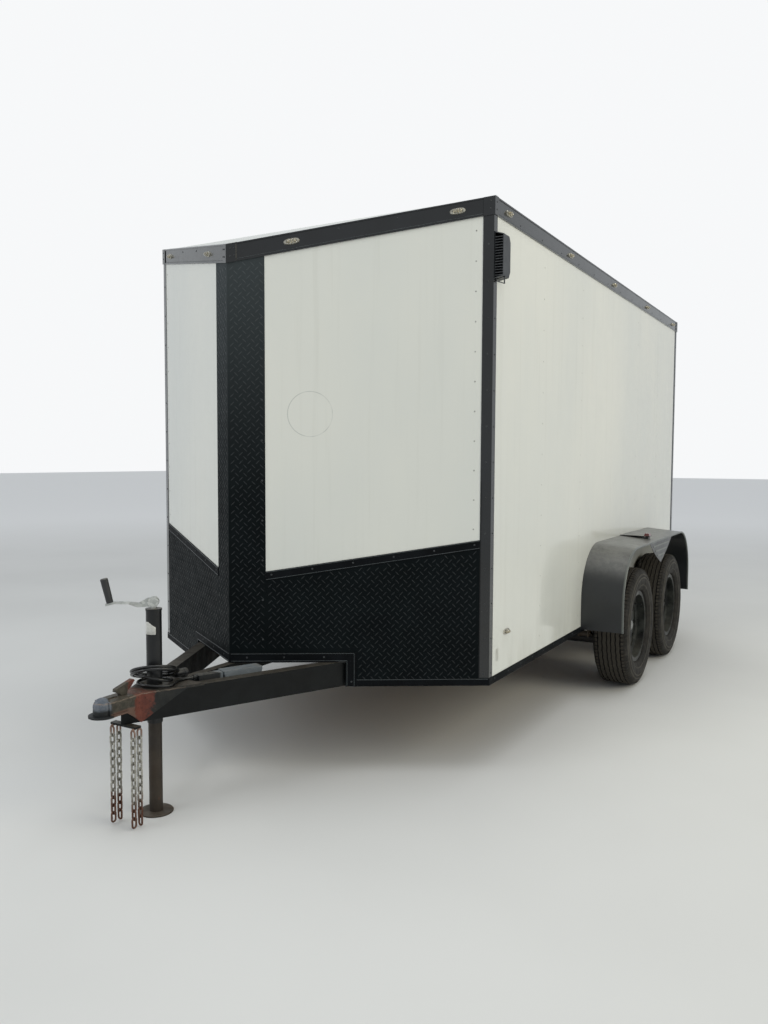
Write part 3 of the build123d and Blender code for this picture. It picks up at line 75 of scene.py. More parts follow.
# ---- camera
YAW, PITCH, ROLL = 0.52532, 0.06302, 0.00418
CAMERA_AT = (2.28816, -4.45924, 1.32451)
FOCAL_PIXELS, PICTURE_PIXELS, SENSOR = 843.93, 1024, 36.0
forward = Vector((-math.sin(YAW) * math.cos(PITCH), math.cos(YAW) * math.cos(PITCH),
                  -math.sin(PITCH)))
right = Vector((math.cos(YAW), math.sin(YAW), 0))
up = right.cross(forward)
side_axis = right * math.cos(ROLL) + up * math.sin(ROLL)
up_axis = up * math.cos(ROLL) - right * math.sin(ROLL)
camera_data = bpy.data.cameras.new("camera")
camera = bpy.data.objects.new("camera", camera_data)
scene.collection.objects.link(camera)
camera.matrix_world = Matrix((
    (side_axis.x, up_axis.x, -forward.x, CAMERA_AT[0]),
    (side_axis.y, up_axis.y, -forward.y, CAMERA_AT[1]),
    (side_axis.z, up_axis.z, -forward.z, CAMERA_AT[2]),
    (0, 0, 0, 1),
))
camera_data.sensor_fit = "VERTICAL"
camera_data.sensor_height = SENSOR
camera_data.lens = FOCAL_PIXELS / PICTURE_PIXELS * SENSOR
camera_data.clip_start = 0.05
camera_data.clip_end = 100
scene.camera = camera
scene.view_settings.view_transform = "Standard"


# ---- materials
def rgb(code):
    """Linear colour from a six-figure hex code."""
    values = [int(code[i:i + 2], 16) / 255 for i in (0, 2, 4)]
    linear = [v / 12.92 if v <= 0.04045 else ((v + 0.055) / 1.055) ** 2.4 for v in values]
    return (*linear, 1.0)


finishes = {}


class Finish:
    """A procedural material on the object's own coordinates."""

    def __init__(self, name, rough=0.5, metal=0.0, spec=0.5, coat=0.0, coat_rough=0.05):
        self.material = bpy.data.materials.new(name)
        self.material.use_nodes = True
        self.tree = self.material.node_tree
        self.shader = self.tree.nodes["Principled BSDF"]
        self.shader.inputs["Roughness"].default_value = rough
        self.shader.inputs["Metallic"].default_value = metal
        self.shader.inputs["Specular IOR Level"].default_value = spec
        self.shader.inputs["Coat Weight"].default_value = coat
        self.shader.inputs["Coat Roughness"].default_value = coat_rough
        self.place = self.node("ShaderNodeTexCoord").outputs["Object"]
        self.parts = None
        finishes[name] = self

    def node(self, kind, **values):
        made = self.tree.nodes.new(kind)
        for key, value in values.items():
            setattr(made, key, value)
        return made

    def link(self, value, socket):
        if isinstance(value, bpy.types.NodeSocket):
            self.tree.links.new(value, socket)
        else:
            socket.default_value = value

    def axis(self, letter):
        if self.parts is None:
            split = self.node("ShaderNodeSeparateXYZ")
            self.link(self.place, split.inputs[0])
            self.parts = split.outputs
        return self.parts["XYZ".index(letter)]

    def upness(self):
        geometry = self.node("ShaderNodeNewGeometry")
        split = self.node("ShaderNodeSeparateXYZ")
        self.link(geometry.outputs["Normal"], split.inputs[0])
        return split.outputs[2]

    def scaled(self, factors):
        mapping = self.node("ShaderNodeMapping")
        self.link(self.place, mapping.inputs["Vector"])
        mapping.inputs["Scale"].default_value = factors
        return mapping.outputs[0]

    def noise(self, scale, detail=4.0, rough=0.55, distort=0.0, stretch=(1, 1, 1)):
        made = self.node("ShaderNodeTexNoise")
        self.link(self.scaled(stretch), made.inputs["Vector"])
        made.inputs["Scale"].default_value = scale
        made.inputs["Detail"].default_value = detail
        made.inputs["Roughness"].default_value = rough
        made.inputs["Distortion"].default_value = distort
        return made.outputs[0]

    def cells(self, scale, output="Distance"):
        made = self.node("ShaderNodeTexVoronoi")
        self.link(self.scaled((1, 1, 1)), made.inputs["Vector"])
        made.inputs["Scale"].default_value = scale
        return made.outputs[output]

    def ramp(self, value, low, high, start=0.0, end=1.0):
        made = self.node("ShaderNodeMapRange", interpolation_type="SMOOTHSTEP")
        self.link(value, made.inputs[0])
        made.inputs[1].default_value = low
        made.inputs[2].default_value = high
        made.inputs[3].default_value = start
        made.inputs[4].default_value = end
        return made.outputs[0]

    def fall(self, value, low, high):
        """1 up to low, 0 from high on."""
        return self.ramp(value, low, high, 1.0, 0.0)

    def calc(self, operation, first, second=0.0):
        made = self.node("ShaderNodeMath", operation=operation)
        self.link(first, made.inputs[0])
        self.link(second, made.inputs[1])
        return made.outputs[0]

    def times(self, *values):
        result = values[0]
        for value in values[1:]:
            result = self.calc("MULTIPLY", result, value)
        return result

    def plus(self, first, second):
        return self.calc("ADD", first, second)

    def minus(self, first, second):
        return self.calc("SUBTRACT", first, second)

    def size(self, value):
        return self.calc("ABSOLUTE", value)

    def off(self, value, middle):
        """How far a value is from a middle one."""
        return self.size(self.minus(value, middle))

    def reach(self, first, second):
        """The length of the way with these two parts at right angles."""
        return self.calc("SQRT", self.plus(self.times(first, first), self.times(second, second)))

    def shaken(self, letter, noise, amount):
        """A coordinate pushed to and fro by a noise, for ragged edges."""
        return self.plus(self.axis(letter), self.times(self.minus(noise, 0.5), amount))

    def mix(self, share, first, second):
        made = self.node("ShaderNodeMix", data_type="RGBA")
        self.link(share, made.inputs[0])
        self.link(rgb(first) if isinstance(first, str) else first, made.inputs[6])
        self.link(rgb(second) if isinstance(second, str) else second, made.inputs[7])
        return made.outputs[2]

    def base(self):
        """The colour given so far."""
        return self.shader.inputs["Base Color"].links[0].from_socket

    def colour(self, value):
        self.link(value, self.shader.inputs["Base Color"])

    def rough(self, value):
        self.link(value, self.shader.inputs["Roughness"])

    def bump(self, height, distance, strength=1.0):
        made = self.node("ShaderNodeBump")
        made.inputs["Strength"].default_value = strength
        made.inputs["Distance"].default_value = distance
        self.link(height, made.inputs["Height"])
        if self.shader.inputs["Normal"].is_linked:
            self.link(self.shader.inputs["Normal"].links[0].from_socket, made.inputs["Normal"])
        self.link(made.outputs[0], self.shader.inputs["Normal"])


def paint(name, base, varied, rough, spread=0.1, dust=0.0, dust_tone="6f675b", grain=220,
          grain_depth=0.00015, metal=0.0, spec=0.5, coat=0.0, rust=0.0, broad=4.0):
    """A painted or moulded finish: broad variation, dust on what faces up, a fine grain, and
    rust in patches."""
    f = Finish(name, rough, metal, spec, coat)
    tone = f.mix(f.ramp(f.noise(broad, 6, 0.6), 0.3, 0.7), base, varied)
    if rust:
        patches = f.ramp(f.noise(9, 8, 0.7, 0.4), 0.78 - rust, 0.86 - rust * 0.6)
        tone = f.mix(patches, tone, "6b3d26")
    if dust:
        uneven = f.ramp(f.noise(30, 6, 0.7), 0.25, 0.75, 0.45, 1.0)
        tone = f.mix(f.times(f.ramp(f.upness(), 0.35, 0.95), uneven, dust), tone, dust_tone)
    f.colour(tone)
    f.rough(f.ramp(f.noise(18, 5, 0.6), 0.25, 0.75,
                   max(0.05, rough - spread), min(1.0, rough + spread)))
    f.bump(f.noise(grain, 3, 0.6), grain_depth)
    return f


# walls: glossy sheet that waves a little, with road dirt low down
f = Finish("white_skin", 0.2, coat=0.35, coat_rough=0.06)
tone = f.mix(f.ramp(f.noise(1.1, 4, 0.5, stretch=(1, 1, 0.5)), 0.3, 0.7), "e3e3da", "dadcd6")
low = f.fall(f.axis("Z"), 0.38, 0.72)
dirt = f.ramp(f.noise(7, 7, 0.65, stretch=(1, 1, 0.35)), 0.35, 0.75)
tone = f.mix(f.times(low, low, dirt, 0.24), tone, "8f8a78")
streak = f.ramp(f.noise(26, 5, 0.6, stretch=(1, 1, 0.03)), 0.52, 0.72)
tone = f.mix(f.times(streak, 0.10), tone, "b3b2a6")
# a faint ring left by something on the left nose panel
RING_MARK_X, RING_MARK_Z, RING_MARK_R = 0.282, 1.506, 0.092
away = f.reach(f.times(f.minus(f.axis("X"), RING_MARK_X), SLANT),
               f.minus(f.axis("Z"), RING_MARK_Z))
ring = f.times(f.fall(f.off(away, RING_MARK_R), 0.0008, 0.0026), f.fall(f.axis("Y"), -1.3, -1.22))
ring = f.times(ring, f.ramp(f.noise(13, 3, 0.5), 0.36, 0.6, 0.25, 1.0), 0.42)
tone = f.mix(ring, tone, "8e948f")
# painted shade: the sheet's down-facing edges, and its lower edge over the tongue and underneath,
# made near black for the shade under the trailer
tone = f.mix(f.fall(f.upness(), -0.9, -0.5), tone, "101214")
painted_shade_low_nose = f.times(f.fall(f.axis("Z"), 0.4793, 0.4797), f.fall(f.axis("Y"), -1.47, -1.46))
tone = f.mix(painted_shade_low_nose, tone, "101214")
f.colour(tone)
f.rough(f.ramp(f.noise(5, 5, 0.6), 0.3, 0.7, 0.13, 0.26))
f.bump(f.noise(1.7, 1, 0.4, stretch=(1, 1, 0.55)), 0.012, 0.16)
f.bump(f.noise(260, 2, 0.5), 0.00006, 0.6)

f = paint("roof_white", "dcdedd", "cfd2d0", 0.4, dust=0.35, dust_tone="a9a698", broad=1.6,
          grain_depth=0.0001)
f.bump(f.noise(1.4, 1, 0.4), 0.012, 0.3)
f = paint("trim_black", "0b0d0f", "121518", 0.2, 0.07, dust=0.25, dust_tone="6b6a65", grain=300,
          grain_depth=0.00006, spec=0.4, coat=0.6, broad=7)
# the bands round the guard and along the bottom are painted matt black
guard_bands = f.times(f.fall(f.axis("Z"), 1.20, 1.25), f.fall(f.axis("Y"), -1.232, -1.226))
matt = f.calc("MAXIMUM", guard_bands, f.fall(f.axis("Z"), 0.404, 0.408))
shine = f.minus(1.0, matt)
f.link(f.times(shine, 0.6), f.shader.inputs["Coat Weight"])
f.link(f.plus(f.times(shine, 0.34), 0.06), f.shader.inputs["Specular IOR Level"])
f.rough(f.plus(f.times(matt, 0.36), f.ramp(f.noise(18, 5, 0.6), 0.25, 0.75, 0.13, 0.27)))
# tread plate: paler with height, a painted highlight for the sheen on the higher plate; the lugs a
# shade paler than the plate, a painted highlight on them
for name, base, varied, rough, spec, top in (
        ("tread_black", "080d0f", "0d1315", 0.58, 0.06, "474d4f"),
        ("tread_lug", "0d1315", "141a1d", 0.32, 0.36, "4b5153")):
    f = paint(name, base, varied, rough, 0.08, grain=320, grain_depth=0.00007, spec=spec, broad=6)
    f.colour(f.mix(f.ramp(f.axis("Z"), 1.0, 2.75), f.base(), top))
# the rolled beads are painted paler than the black trim: a painted highlight along the edges of
# bands and trim
paint("bead_painted_highlight", "2e3335", "3c4244", 0.3, 0.08, grain=300, grain_depth=0.00005, broad=9)
paint("frame_black", "080a0b", "121516", 0.46, 0.14, spec=0.22, dust=0.6, dust_tone="5f594f",
      grain=150, grain_depth=0.0002, rust=0.03, broad=6)

# coupler: bluish worn paint on the dome, bare brown steel, a patch of red primer, black paint
f = Finish("coupler_worn", 0.55, metal=0.1, spec=0.4)
along = f.shaken("Y", f.noise(24, 7, 0.75, 0.5), 0.07)
high = f.shaken("Z", f.noise(50, 6, 0.7), 0.012)
dome = f.mix(f.ramp(f.noise(34, 7, 0.7), 0.35, 0.65), "4d545e", "6d7279")
dome = f.mix(f.fall(high, 0.447, 0.462), dome, "1f2122")
bare = f.mix(f.ramp(f.noise(40, 8, 0.75, 0.6), 0.38, 0.62), "34322b", "4c473d")
bare = f.mix(f.ramp(high, 0.436, 0.444, 0.8, 0.0), bare, "6a5044")
primer = f.mix(f.ramp(f.noise(26, 7, 0.7), 0.35, 0.65), "55291f", "6c382b")
primer = f.mix(f.ramp(f.noise(44, 7, 0.75, 0.3), 0.54, 0.62), primer, "2b211e")
black = f.mix(f.ramp(f.noise(18, 6, 0.6), 0.3, 0.7), "121516", "20211f")
tone = f.mix(f.ramp(along, -2.452, -2.440), dome, bare)
tone = f.mix(f.ramp(along, -2.345, -2.338), tone, primer)
tone = f.mix(f.ramp(along, -2.275, -2.262), tone, black)
# worn to the metal along the edge between the top plate and the sides
edge = f.fall(f.off(high, 0.4765), 0.0008, 0.0034)
worn = f.times(edge, f.ramp(f.axis("Y"), -2.30, -2.12, 1.0, 0.2),
               f.ramp(f.noise(60, 6, 0.7), 0.38, 0.6, 0.2, 0.75))
tone = f.mix(worn, tone, "8f7f70")
over = f.times(f.ramp(f.upness(), 0.6, 0.95), f.ramp(f.noise(40, 7, 0.7), 0.3, 0.7, 0.35, 1.0))
tone = f.mix(f.times(over, 0.6, f.ramp(f.axis("Y"), -2.44, -2.36)), tone, "5b5246")
scratch = f.ramp(f.noise(70, 6, 0.7, stretch=(1, 0.25, 1)), 0.64, 0.72)
tone = f.mix(f.times(scratch, 0.45), tone, "968a7c")
f.colour(tone)
f.rough(f.ramp(f.noise(30, 6, 0.7), 0.3, 0.7, 0.4, 0.75))
f.bump(f.noise(90, 7, 0.75), 0.0006, 0.6)

f = Finish("galvanised", 0.42, metal=0.55)
tone = f.mix(f.ramp(f.cells(90, "Color"), 0.0, 1.0), "cfd1cd", "a7aaa7")
f.colour(f.mix(f.times(f.ramp(f.noise(20, 7, 0.7), 0.55, 0.75), 0.6), tone, "6f6a60"))
f.rough(f.ramp(f.noise(40, 5, 0.6), 0.3, 0.7, 0.32, 0.55))
f.bump(f.noise(120, 4, 0.6), 0.0002)

paint("jack_black", "0f1112", "1a1b1d", 0.36, 0.1, dust=0.6, spec=0.4, grain=190,
      grain_depth=0.00012, rust=0.02, broad=8)
paint("jack_steel", "2b251f", "43382c", 0.6, 0.15, dust=0.6, grain=150, grain_depth=0.0003,
      rust=0.2, metal=0.2)
paint("grip_black", "232425", "2e2f30", 0.5, 0.08, dust=0.5, dust_tone="8a8880", grain=240,
      grain_depth=0.0002)

# chains: zinc, rusty low down and where they hang from the bar
f = Finish("chain_zinc", 0.38, metal=0.75)
tone = f.mix(f.ramp(f.noise(60, 6, 0.7), 0.3, 0.7), "c3c1b8", "77746c")
low = f.fall(f.shaken("Z", f.noise(25, 5, 0.7), 0.16), 0.075, 0.15)
tone = f.mix(f.times(low, 0.9), tone, "5e3522")
top = f.ramp(f.shaken("Z", f.noise(45, 5, 0.7), 0.03), 0.330, 0.342)
tone = f.mix(f.times(top, 0.75), tone, "84604f")
f.colour(tone)
f.rough(f.ramp(f.noise(90, 6, 0.7), 0.3, 0.7, 0.28, 0.6))
f.bump(f.noise(200, 6, 0.75), 0.0003, 0.6)

f = Finish("box_grey", 0.5)
tone = f.mix(f.ramp(f.noise(20, 6, 0.65), 0.3, 0.7), "5f666b", "72797e")
tone = f.mix(f.fall(f.axis("Y"), -1.99, -1.98), tone, "15181a")
over = f.times(f.ramp(f.upness(), 0.4, 0.95), f.ramp(f.noise(34, 6, 0.7), 0.35, 0.7), 0.5)
tone = f.mix(over, tone, "8a857a")
f.colour(tone)
f.rough(f.ramp(f.noise(30, 5, 0.6), 0.3, 0.7, 0.38, 0.62))
f.bump(f.noise(260, 3, 0.6), 0.00012)

paint("cord_black", "0b0c0e", "131416", 0.22, 0.07, dust=0.16, dust_tone="77746c", grain=160,
      grain_depth=0.0002, broad=14)
paint("plug_black", "141517", "1f2022", 0.38, 0.08, dust=0.4, dust_tone="77746c", grain=260,
      grain_depth=0.0002, broad=14)

f = Finish("floor_wood", 0.65)
fibre = f.noise(14, 6, 0.65, 0.3, stretch=(1, 0.08, 1))
tone = f.mix(f.ramp(fibre, 0.3, 0.7), "8a6d49", "a98a62")
f.colour(f.mix(f.times(f.ramp(f.noise(3, 5, 0.6), 0.4, 0.7), 0.35), tone, "5d4c38"))
f.bump(fibre, 0.0005, 0.5)

paint("vent_plastic", "16191b", "202427", 0.34, 0.08, dust=0.35, dust_tone="6d6c66", grain=280,
      grain_depth=0.0001)
f = paint("fender_black", "121518", "191c1f", 0.42, 0.08, dust=0.55, dust_tone="8f8e87",
          spec=0.45, coat=0.5, grain=420, grain_depth=0.00012, broad=5)
f.shader.inputs["Coat Roughness"].default_value = 0.28
outward = f.size(f.axis("X"))
# the fender's outer lip is painted paler: a painted highlight along the rolled lip
tone = f.mix(f.times(f.ramp(outward, 1.1372, 1.1388), 0.8), f.base(), "5d625f")
# the skirt between the wheels stays dark; the outer faces of its level ribs are painted paler, a
# painted highlight
skirt = f.times(f.ramp(outward, 1.1415, 1.1420), f.fall(f.off(f.axis("Y"), AXLES_Y), 0.30, 0.32),
                f.fall(f.axis("Z"), 0.820, 0.822))
tone = f.mix(skirt, tone, "1b1e20")
f.colour(f.mix(f.times(skirt, f.ramp(outward, 1.1450, 1.1460), 0.8), tone, "6b7069"))

# tyres: dusty, paler on the tread's faces, painted shade in the grooves, faint rings on the
# sidewall
f = Finish("tyre", 0.8, spec=0.35)
tone = f.mix(f.ramp(f.noise(14, 6, 0.65), 0.3, 0.7), "171614", "24221f")
tone = f.mix(f.times(f.ramp(f.noise(38, 6, 0.7), 0.42, 0.68), 0.45), tone, "3f3a33")
wide = f.reach(f.minus(f.off(f.axis("Y"), AXLES_Y), AXLE_OFF), f.minus(f.axis("Z"), TYRE_R))
across = f.off(f.size(f.axis("X")), WHEEL_X)
tread = f.times(f.fall(across, 0.084, 0.094), f.ramp(wide, 0.3375, 0.3415), 0.8)
tone = f.mix(tread, tone, "433f38")
# painted shade: the grooves made near black
tone = f.mix(f.times(f.fall(across, 0.066, 0.069), f.fall(wide, 0.3370, 0.3400)), tone, "060505")
for radius, breadth, share in (
        (0.2865, 0.0045, 0.5), (0.2440, 0.0030, 0.4), (0.3060, 0.0060, 0.35)):
    ring = f.fall(f.off(wide, radius), breadth * 0.4, breadth)
    faded = f.ramp(f.noise(22, 5, 0.6), 0.3, 0.6, 0.5, 1.0)
    tone = f.mix(f.times(ring, share, faded), tone, "6a665c")
f.colour(tone)
f.rough(f.ramp(f.noise(20, 5, 0.6), 0.3, 0.7, 0.7, 0.92))
f.bump(f.noise(300, 4, 0.7), 0.0003, 0.8)

f = paint("rim_black", "101213", "232525", 0.36, 0.1, dust=0.35, dust_tone="6b6459", grain=200,
          grain_depth=0.00012, spec=0.35)
f.colour(f.mix(f.times(f.ramp(f.noise(16, 6, 0.7), 0.36, 0.66), 0.5), f.base(), "565852"))
f = Finish("hub_silver", 0.36, metal=0.7)
f.colour(f.mix(f.ramp(f.noise(40, 6, 0.7), 0.35, 0.7), "a8aaab", "6d6b67"))
f.rough(f.ramp(f.noise(60, 5, 0.6), 0.3, 0.7, 0.28, 0.5))
f.bump(f.noise(160, 5, 0.7), 0.0002)
paint("axle_black", "1a1b1c", "28282a", 0.6, 0.12, dust=0.6, grain=120, grain_depth=0.0004,
      rust=0.12)
paint("spring_steel", "26241f", "393026", 0.65, 0.12, dust=0.5, grain=140, grain_depth=0.0004,
      rust=0.25)
paint("bracket_steel", "121416", "1d1f21", 0.42, 0.1, dust=0.4, grain_depth=0.0002)
paint("door_edge", "0d0f11", "16191b", 0.24, 0.08, dust=0.3, grain=280, grain_depth=0.00008,
      coat=0.2)
paint("latch_black", "0e1011", "191b1d", 0.3, 0.08, dust=0.3, grain=240, grain_depth=0.0001)
paint("screw_black", "26292b", "3a3d3f", 0.36, metal=0.3, grain=400, grain_depth=0.0001, broad=30)
paint("screw_white", "a9aaa4", "8a8b86", 0.4, metal=0.3, grain=400, grain_depth=0.0001, broad=30)
paint("weld_bead", "2a2b2c", "46423d", 0.5, 0.12, dust=0.5, grain=300, grain_depth=0.0004, broad=40)
paint("sticker", "d9d9d4", "b9b8b0", 0.45, grain=300, grain_depth=0.0001, broad=30)
paint("sealant", "c9cac5", "b4b4ab", 0.5, grain=200, grain_depth=0.0002, broad=20)

# lamps
LENS_CELLS, CLEAR_CELLS = 260, 420
for name, shade, deep in (("lamp_amber", "ddd6c0", "a89c78"), ("lamp_red", "7d1712", "4a0b0a")):
    f = Finish(name, 0.16, spec=0.6, coat=0.6)
    f.colour(f.mix(f.ramp(f.cells(LENS_CELLS), 0.1, 0.5), shade, deep))
    f.rough(f.ramp(f.noise(60, 4, 0.6), 0.3, 0.7, 0.1, 0.24))
    f.bump(f.cells(LENS_CELLS), 0.0008, 0.5)
f = Finish("lens_clear", 0.08, spec=0.6)
f.shader.inputs["Transmission Weight"].default_value = 0.85
f.colour(f.mix(f.ramp(f.noise(40, 4, 0.6), 0.3, 0.7), "f4f2ea", "ddd9cc"))
f.bump(f.cells(CLEAR_CELLS), 0.0006, 0.5)
f = Finish("lamp_chrome", 0.22, metal=0.85)
f.colour(f.mix(f.ramp(f.noise(70, 5, 0.6), 0.3, 0.7), "cfccc0", "9e998b"))
f.bump(f.noise(200, 4, 0.6), 0.0001)

for name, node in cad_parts.items():
    for slot in node.material_slots:
        key = slot.material.name.split(".")[0]
        if key in finishes:
            slot.material = finishes[key].material
        else:
            print("no finish for", name, key)


# ---- pieces
WELD_GAP = 0.00002


def smoothed(mesh, degrees):
    """Shade smooth, with the edges that turn more than this left sharp."""
    mesh.shade_smooth()
    mesh.set_sharp_from_angle(angle=math.radians(degrees))


def add_piece(name, points, faces, body, finish, smooth):
    mesh = bpy.data.meshes.new(name)
    mesh.from_pydata([tuple(p) for p in points], [], faces)
    mesh.validate()
    mesh.update()
    if smooth:
        smoothed(mesh, smooth)
    piece = bpy.data.objects.new(name, mesh)
    scene.collection.objects.link(piece)
    mesh.materials.append(finishes[finish].material)
    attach(piece, body)
    return piece


def spaced(first, step, count):
    return [first + i * step for i in range(count)]


def ring_rays(first, second, count):
    """Rays at equal turns, from the first axis towards the second."""
    turns = [2 * math.pi * i / count for i in range(count)]
    return [first * math.cos(turn) + second * math.sin(turn) for turn in turns]


def grid_faces(rows, columns, round_rows=False, round_columns=False):
    """Quads over rows of points; either direction can close on itself."""
    faces = []
    for i in range(rows if round_rows else rows - 1):
        j = (i + 1) % rows
        for k in range(columns if round_columns else columns - 1):
            m = (k + 1) % columns
            faces.append((i * columns + k, i * columns + m, j * columns + m, j * columns + k))
    return faces


class Heap:
    """Collects points and faces of many small forms for one piece."""

    def __init__(self):
        self.points, self.faces = [], []

    def take(self, points, faces):
        base = len(self.points)
        self.points += [Vector(p) for p in points]
        self.faces += [tuple(base + i for i in face) for face in faces]

    def box(self, low, high):
        (a, b, c), (d, e, g) = low, high
        pts = [(a, b, c), (d, b, c), (d, e, c), (a, e, c),
               (a, b, g), (d, b, g), (d, e, g), (a, e, g)]
        self.take(pts, [(0, 3, 2, 1), (4, 5, 6, 7), (0, 1, 5, 4),
                        (1, 2, 6, 5), (2, 3, 7, 6), (3, 0, 4, 7)])

    def spun(self, profile, origin, axis, steps):
        """A form turned about an axis: profile is (along, radius)."""
        n = Vector(axis).normalized()
        u = n.orthogonal().normalized()
        pts, rows = [], len(profile)
        for ray in ring_rays(u, n.cross(u), steps):
            pts += [Vector(origin) + n * along + ray * max(radius, 0.0)
                    for along, radius in profile]
        faces = []
        for i in range(steps):
            j = (i + 1) % steps
            for k in range(rows - 1):
                a, b, c, d = i * rows + k, j * rows + k, j * rows + k + 1, i * rows + k + 1
                if profile[k][1] <= 0:
                    faces.append((a, c, d))
                elif profile[k + 1][1] <= 0:
                    faces.append((a, b, d))
                else:
                    faces.append((a, b, c, d))
        self.take(pts, faces)

    def make(self, name, body, finish, slot, smooth, weld=True):
        piece = add_piece(name, self.points, self.faces, body, finish, 0)
        if weld:
            work = bmesh.new()
            work.from_mesh(piece.data)
            bmesh.ops.remove_doubles(work, verts=work.verts, dist=WELD_GAP)
            bmesh.ops.recalc_face_normals(work, faces=work.faces)
            work.to_mesh(piece.data)
            work.free()
        if smooth:
            smoothed(piece.data, smooth)
        return piece


def nose_point(side, x, height, out):
    """A point on a nose face: x from the middle, height over the rails, out from the wall."""
    nx, ny = DEPTH / FACE, -HALF / FACE
    return Vector((side * (x + nx * out), POINT + x * DEPTH / HALF + ny * out, RAIL + height))


def nose_axes(side):
    """Along the face towards the corner, up, and out from the face."""
    u = Vector((side * HALF / FACE, DEPTH / FACE, 0))
    n = Vector((side * DEPTH / FACE, -HALF / FACE, 0))
    return u, Vector((0, 0, 1)), n


def falling(heights, x):
    """Height at x on a line given by its (corner, point) heights."""
    return heights[1] + (heights[0] - heights[1]) * x / HALF


# ---- cord, plug
def by_jack(points):
    """Points given from the jack's axis and the coupler's plate."""
    return [Vector((x, JACK_Y + y, PLATE_Z + z)) for x, y, z in points]


# the same points as the CAD's lead
route = by_jack((
    (0.0632, 0.1385, 0.0063),
    (0.0539, 0.1186, 0.0063),
    (0.0496, 0.0940, 0.0063),
    (0.0520, 0.0661, 0.0063),
    (0.0642, 0.0431, 0.0063),
))
# once round the jack near the plate, clockwise from above, then up into the raised turns:
# strands wound round each other on a tilted ring round the jack's tube
LOW_STEPS, RISE_STEPS, HIGH_STEPS, ENTRY_STEPS = 12, 14, 44, 3.0
TURN_STEP = math.radians(22.5)
TWIST_STEPS = 3.0  # turns round the ring for one twist
TWIST_FROM = math.radians(250)
TILT = 58.0 / 154.0
LEAN_WAY = 0.7071  # the tilt is half towards -X, half towards +Y
RING_SHIFT = 0.00849
RING_Z, RING_LIFT = 0.0125, 0.0345
RING_R, ENTRY_R, RAISED_R = 0.0620, 0.0150, 0.0190
ENTRY_DROP = 0.0062
STRANDS_R = 0.0068
angle = math.radians(33.9) - TURN_STEP
for number in range(LOW_STEPS + RISE_STEPS + HIGH_STEPS):
    raised = min(1.0, max(0.0, (number - LOW_STEPS) / RISE_STEPS))
    raised = raised * raised * (3 - 2 * raised)
    entry = max(0.0, 1 - number / ENTRY_STEPS)
    lean = TILT * raised
    middle = Vector((-RING_SHIFT * raised, JACK_Y + RING_SHIFT * raised,
                     PLATE_Z + RING_Z + RING_LIFT * raised))
    normal = Vector((-lean * LEAN_WAY, lean * LEAN_WAY, math.sqrt(1 - lean * lean)))
    ray = Vector((math.cos(angle), math.sin(angle), 0))
    ray = (ray - normal * ray.dot(normal)).normalized()
    wide = RING_R + ENTRY_R * entry + RAISED_R * raised
    twist = TWIST_FROM - (number - LOW_STEPS) * TURN_STEP / TWIST_STEPS
    spread = STRANDS_R * raised
    spot = middle + ray * (wide + spread * math.cos(twist)) + normal * (spread * math.sin(twist))
    spot.z -= ENTRY_DROP * entry
    route.append(spot)
    angle -= TURN_STEP
# out of the coil to the plug
route += by_jack((
    (-0.0518, -0.0490, 0.0495),
    (-0.0655, -0.0250, 0.0370),
    (-0.0639, 0.0042, 0.0285),
    (-0.0479, 0.0309, 0.0248),
    (-0.0227, 0.0508, 0.0240),
    (-0.0077, 0.0758, 0.0229),
    (-0.0060, 0.0900, 0.0213),
))
curve = bpy.data.curves.new("lead_cord", "CURVE")
curve.dimensions = "3D"
spline = curve.splines.new("NURBS")
spline.points.add(len(route) - 1)
for point, spot in zip(spline.points, route):
    point.co = (spot.x, spot.y, spot.z, 1)
spline.order_u = 3
spline.use_endpoint_u = True
spline.resolution_u = 6
curve.bevel_depth = 0.0055
curve.bevel_resolution = 3
cord = bpy.data.objects.new("lead_cord", curve)
scene.collection.objects.link(cord)
curve.materials.append(finishes["cord_black"].material)
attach(cord, "trailer")
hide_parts("cord_lead", "cord_coil")

# the plug: a ribbed sleeve that widens, then the body with its open face
plug_from = route[-1]
plug_axis = Vector((0.12, 0.98, -0.11)).normalized()
RIB = 0.0012
sleeve = [(0.0, 0.0), (0.0, 0.0064)]
for number in range(5):
    start, neck = 0.003 + number * 0.0032, 0.0066 + number * 0.0006
    sleeve += [(start, neck + RIB), (start + 0.0016, neck + RIB),
               (start + 0.0018, neck), (start + 0.0030, neck)]
sleeve += [(0.0200, 0.0110), (0.0230, 0.0150), (0.0260, 0.0160), (0.0560, 0.0160), (0.0575, 0.0178),
           (0.0720, 0.0180), (0.0720, 0.0150), (0.0640, 0.0148), (0.0640, 0.0)]
heap = Heap()
heap.spun(sleeve, plug_from, plug_axis, 32)
plug = heap.make("lead_plug", "trailer", "plug_black", "plug_black", 35)
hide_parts("cord_plug")
CONTACT_RING = 0.0088
CONTACT = [(0.0, 0.0), (0.0, 0.0020), (0.0062, 0.0020), (0.0070, 0.0012), (0.0070, 0.0)]
heap = Heap()
u = plug_axis.orthogonal().normalized()
for off in [ray * CONTACT_RING for ray in ring_rays(u, plug_axis.cross(u), 6)] + [Vector()]:
    heap.spun(CONTACT, plug_from + plug_axis * 0.0639 + off, plug_axis, 8)
contacts = heap.make("plug_contacts", "trailer", "lamp_chrome", "galvanised", 35)

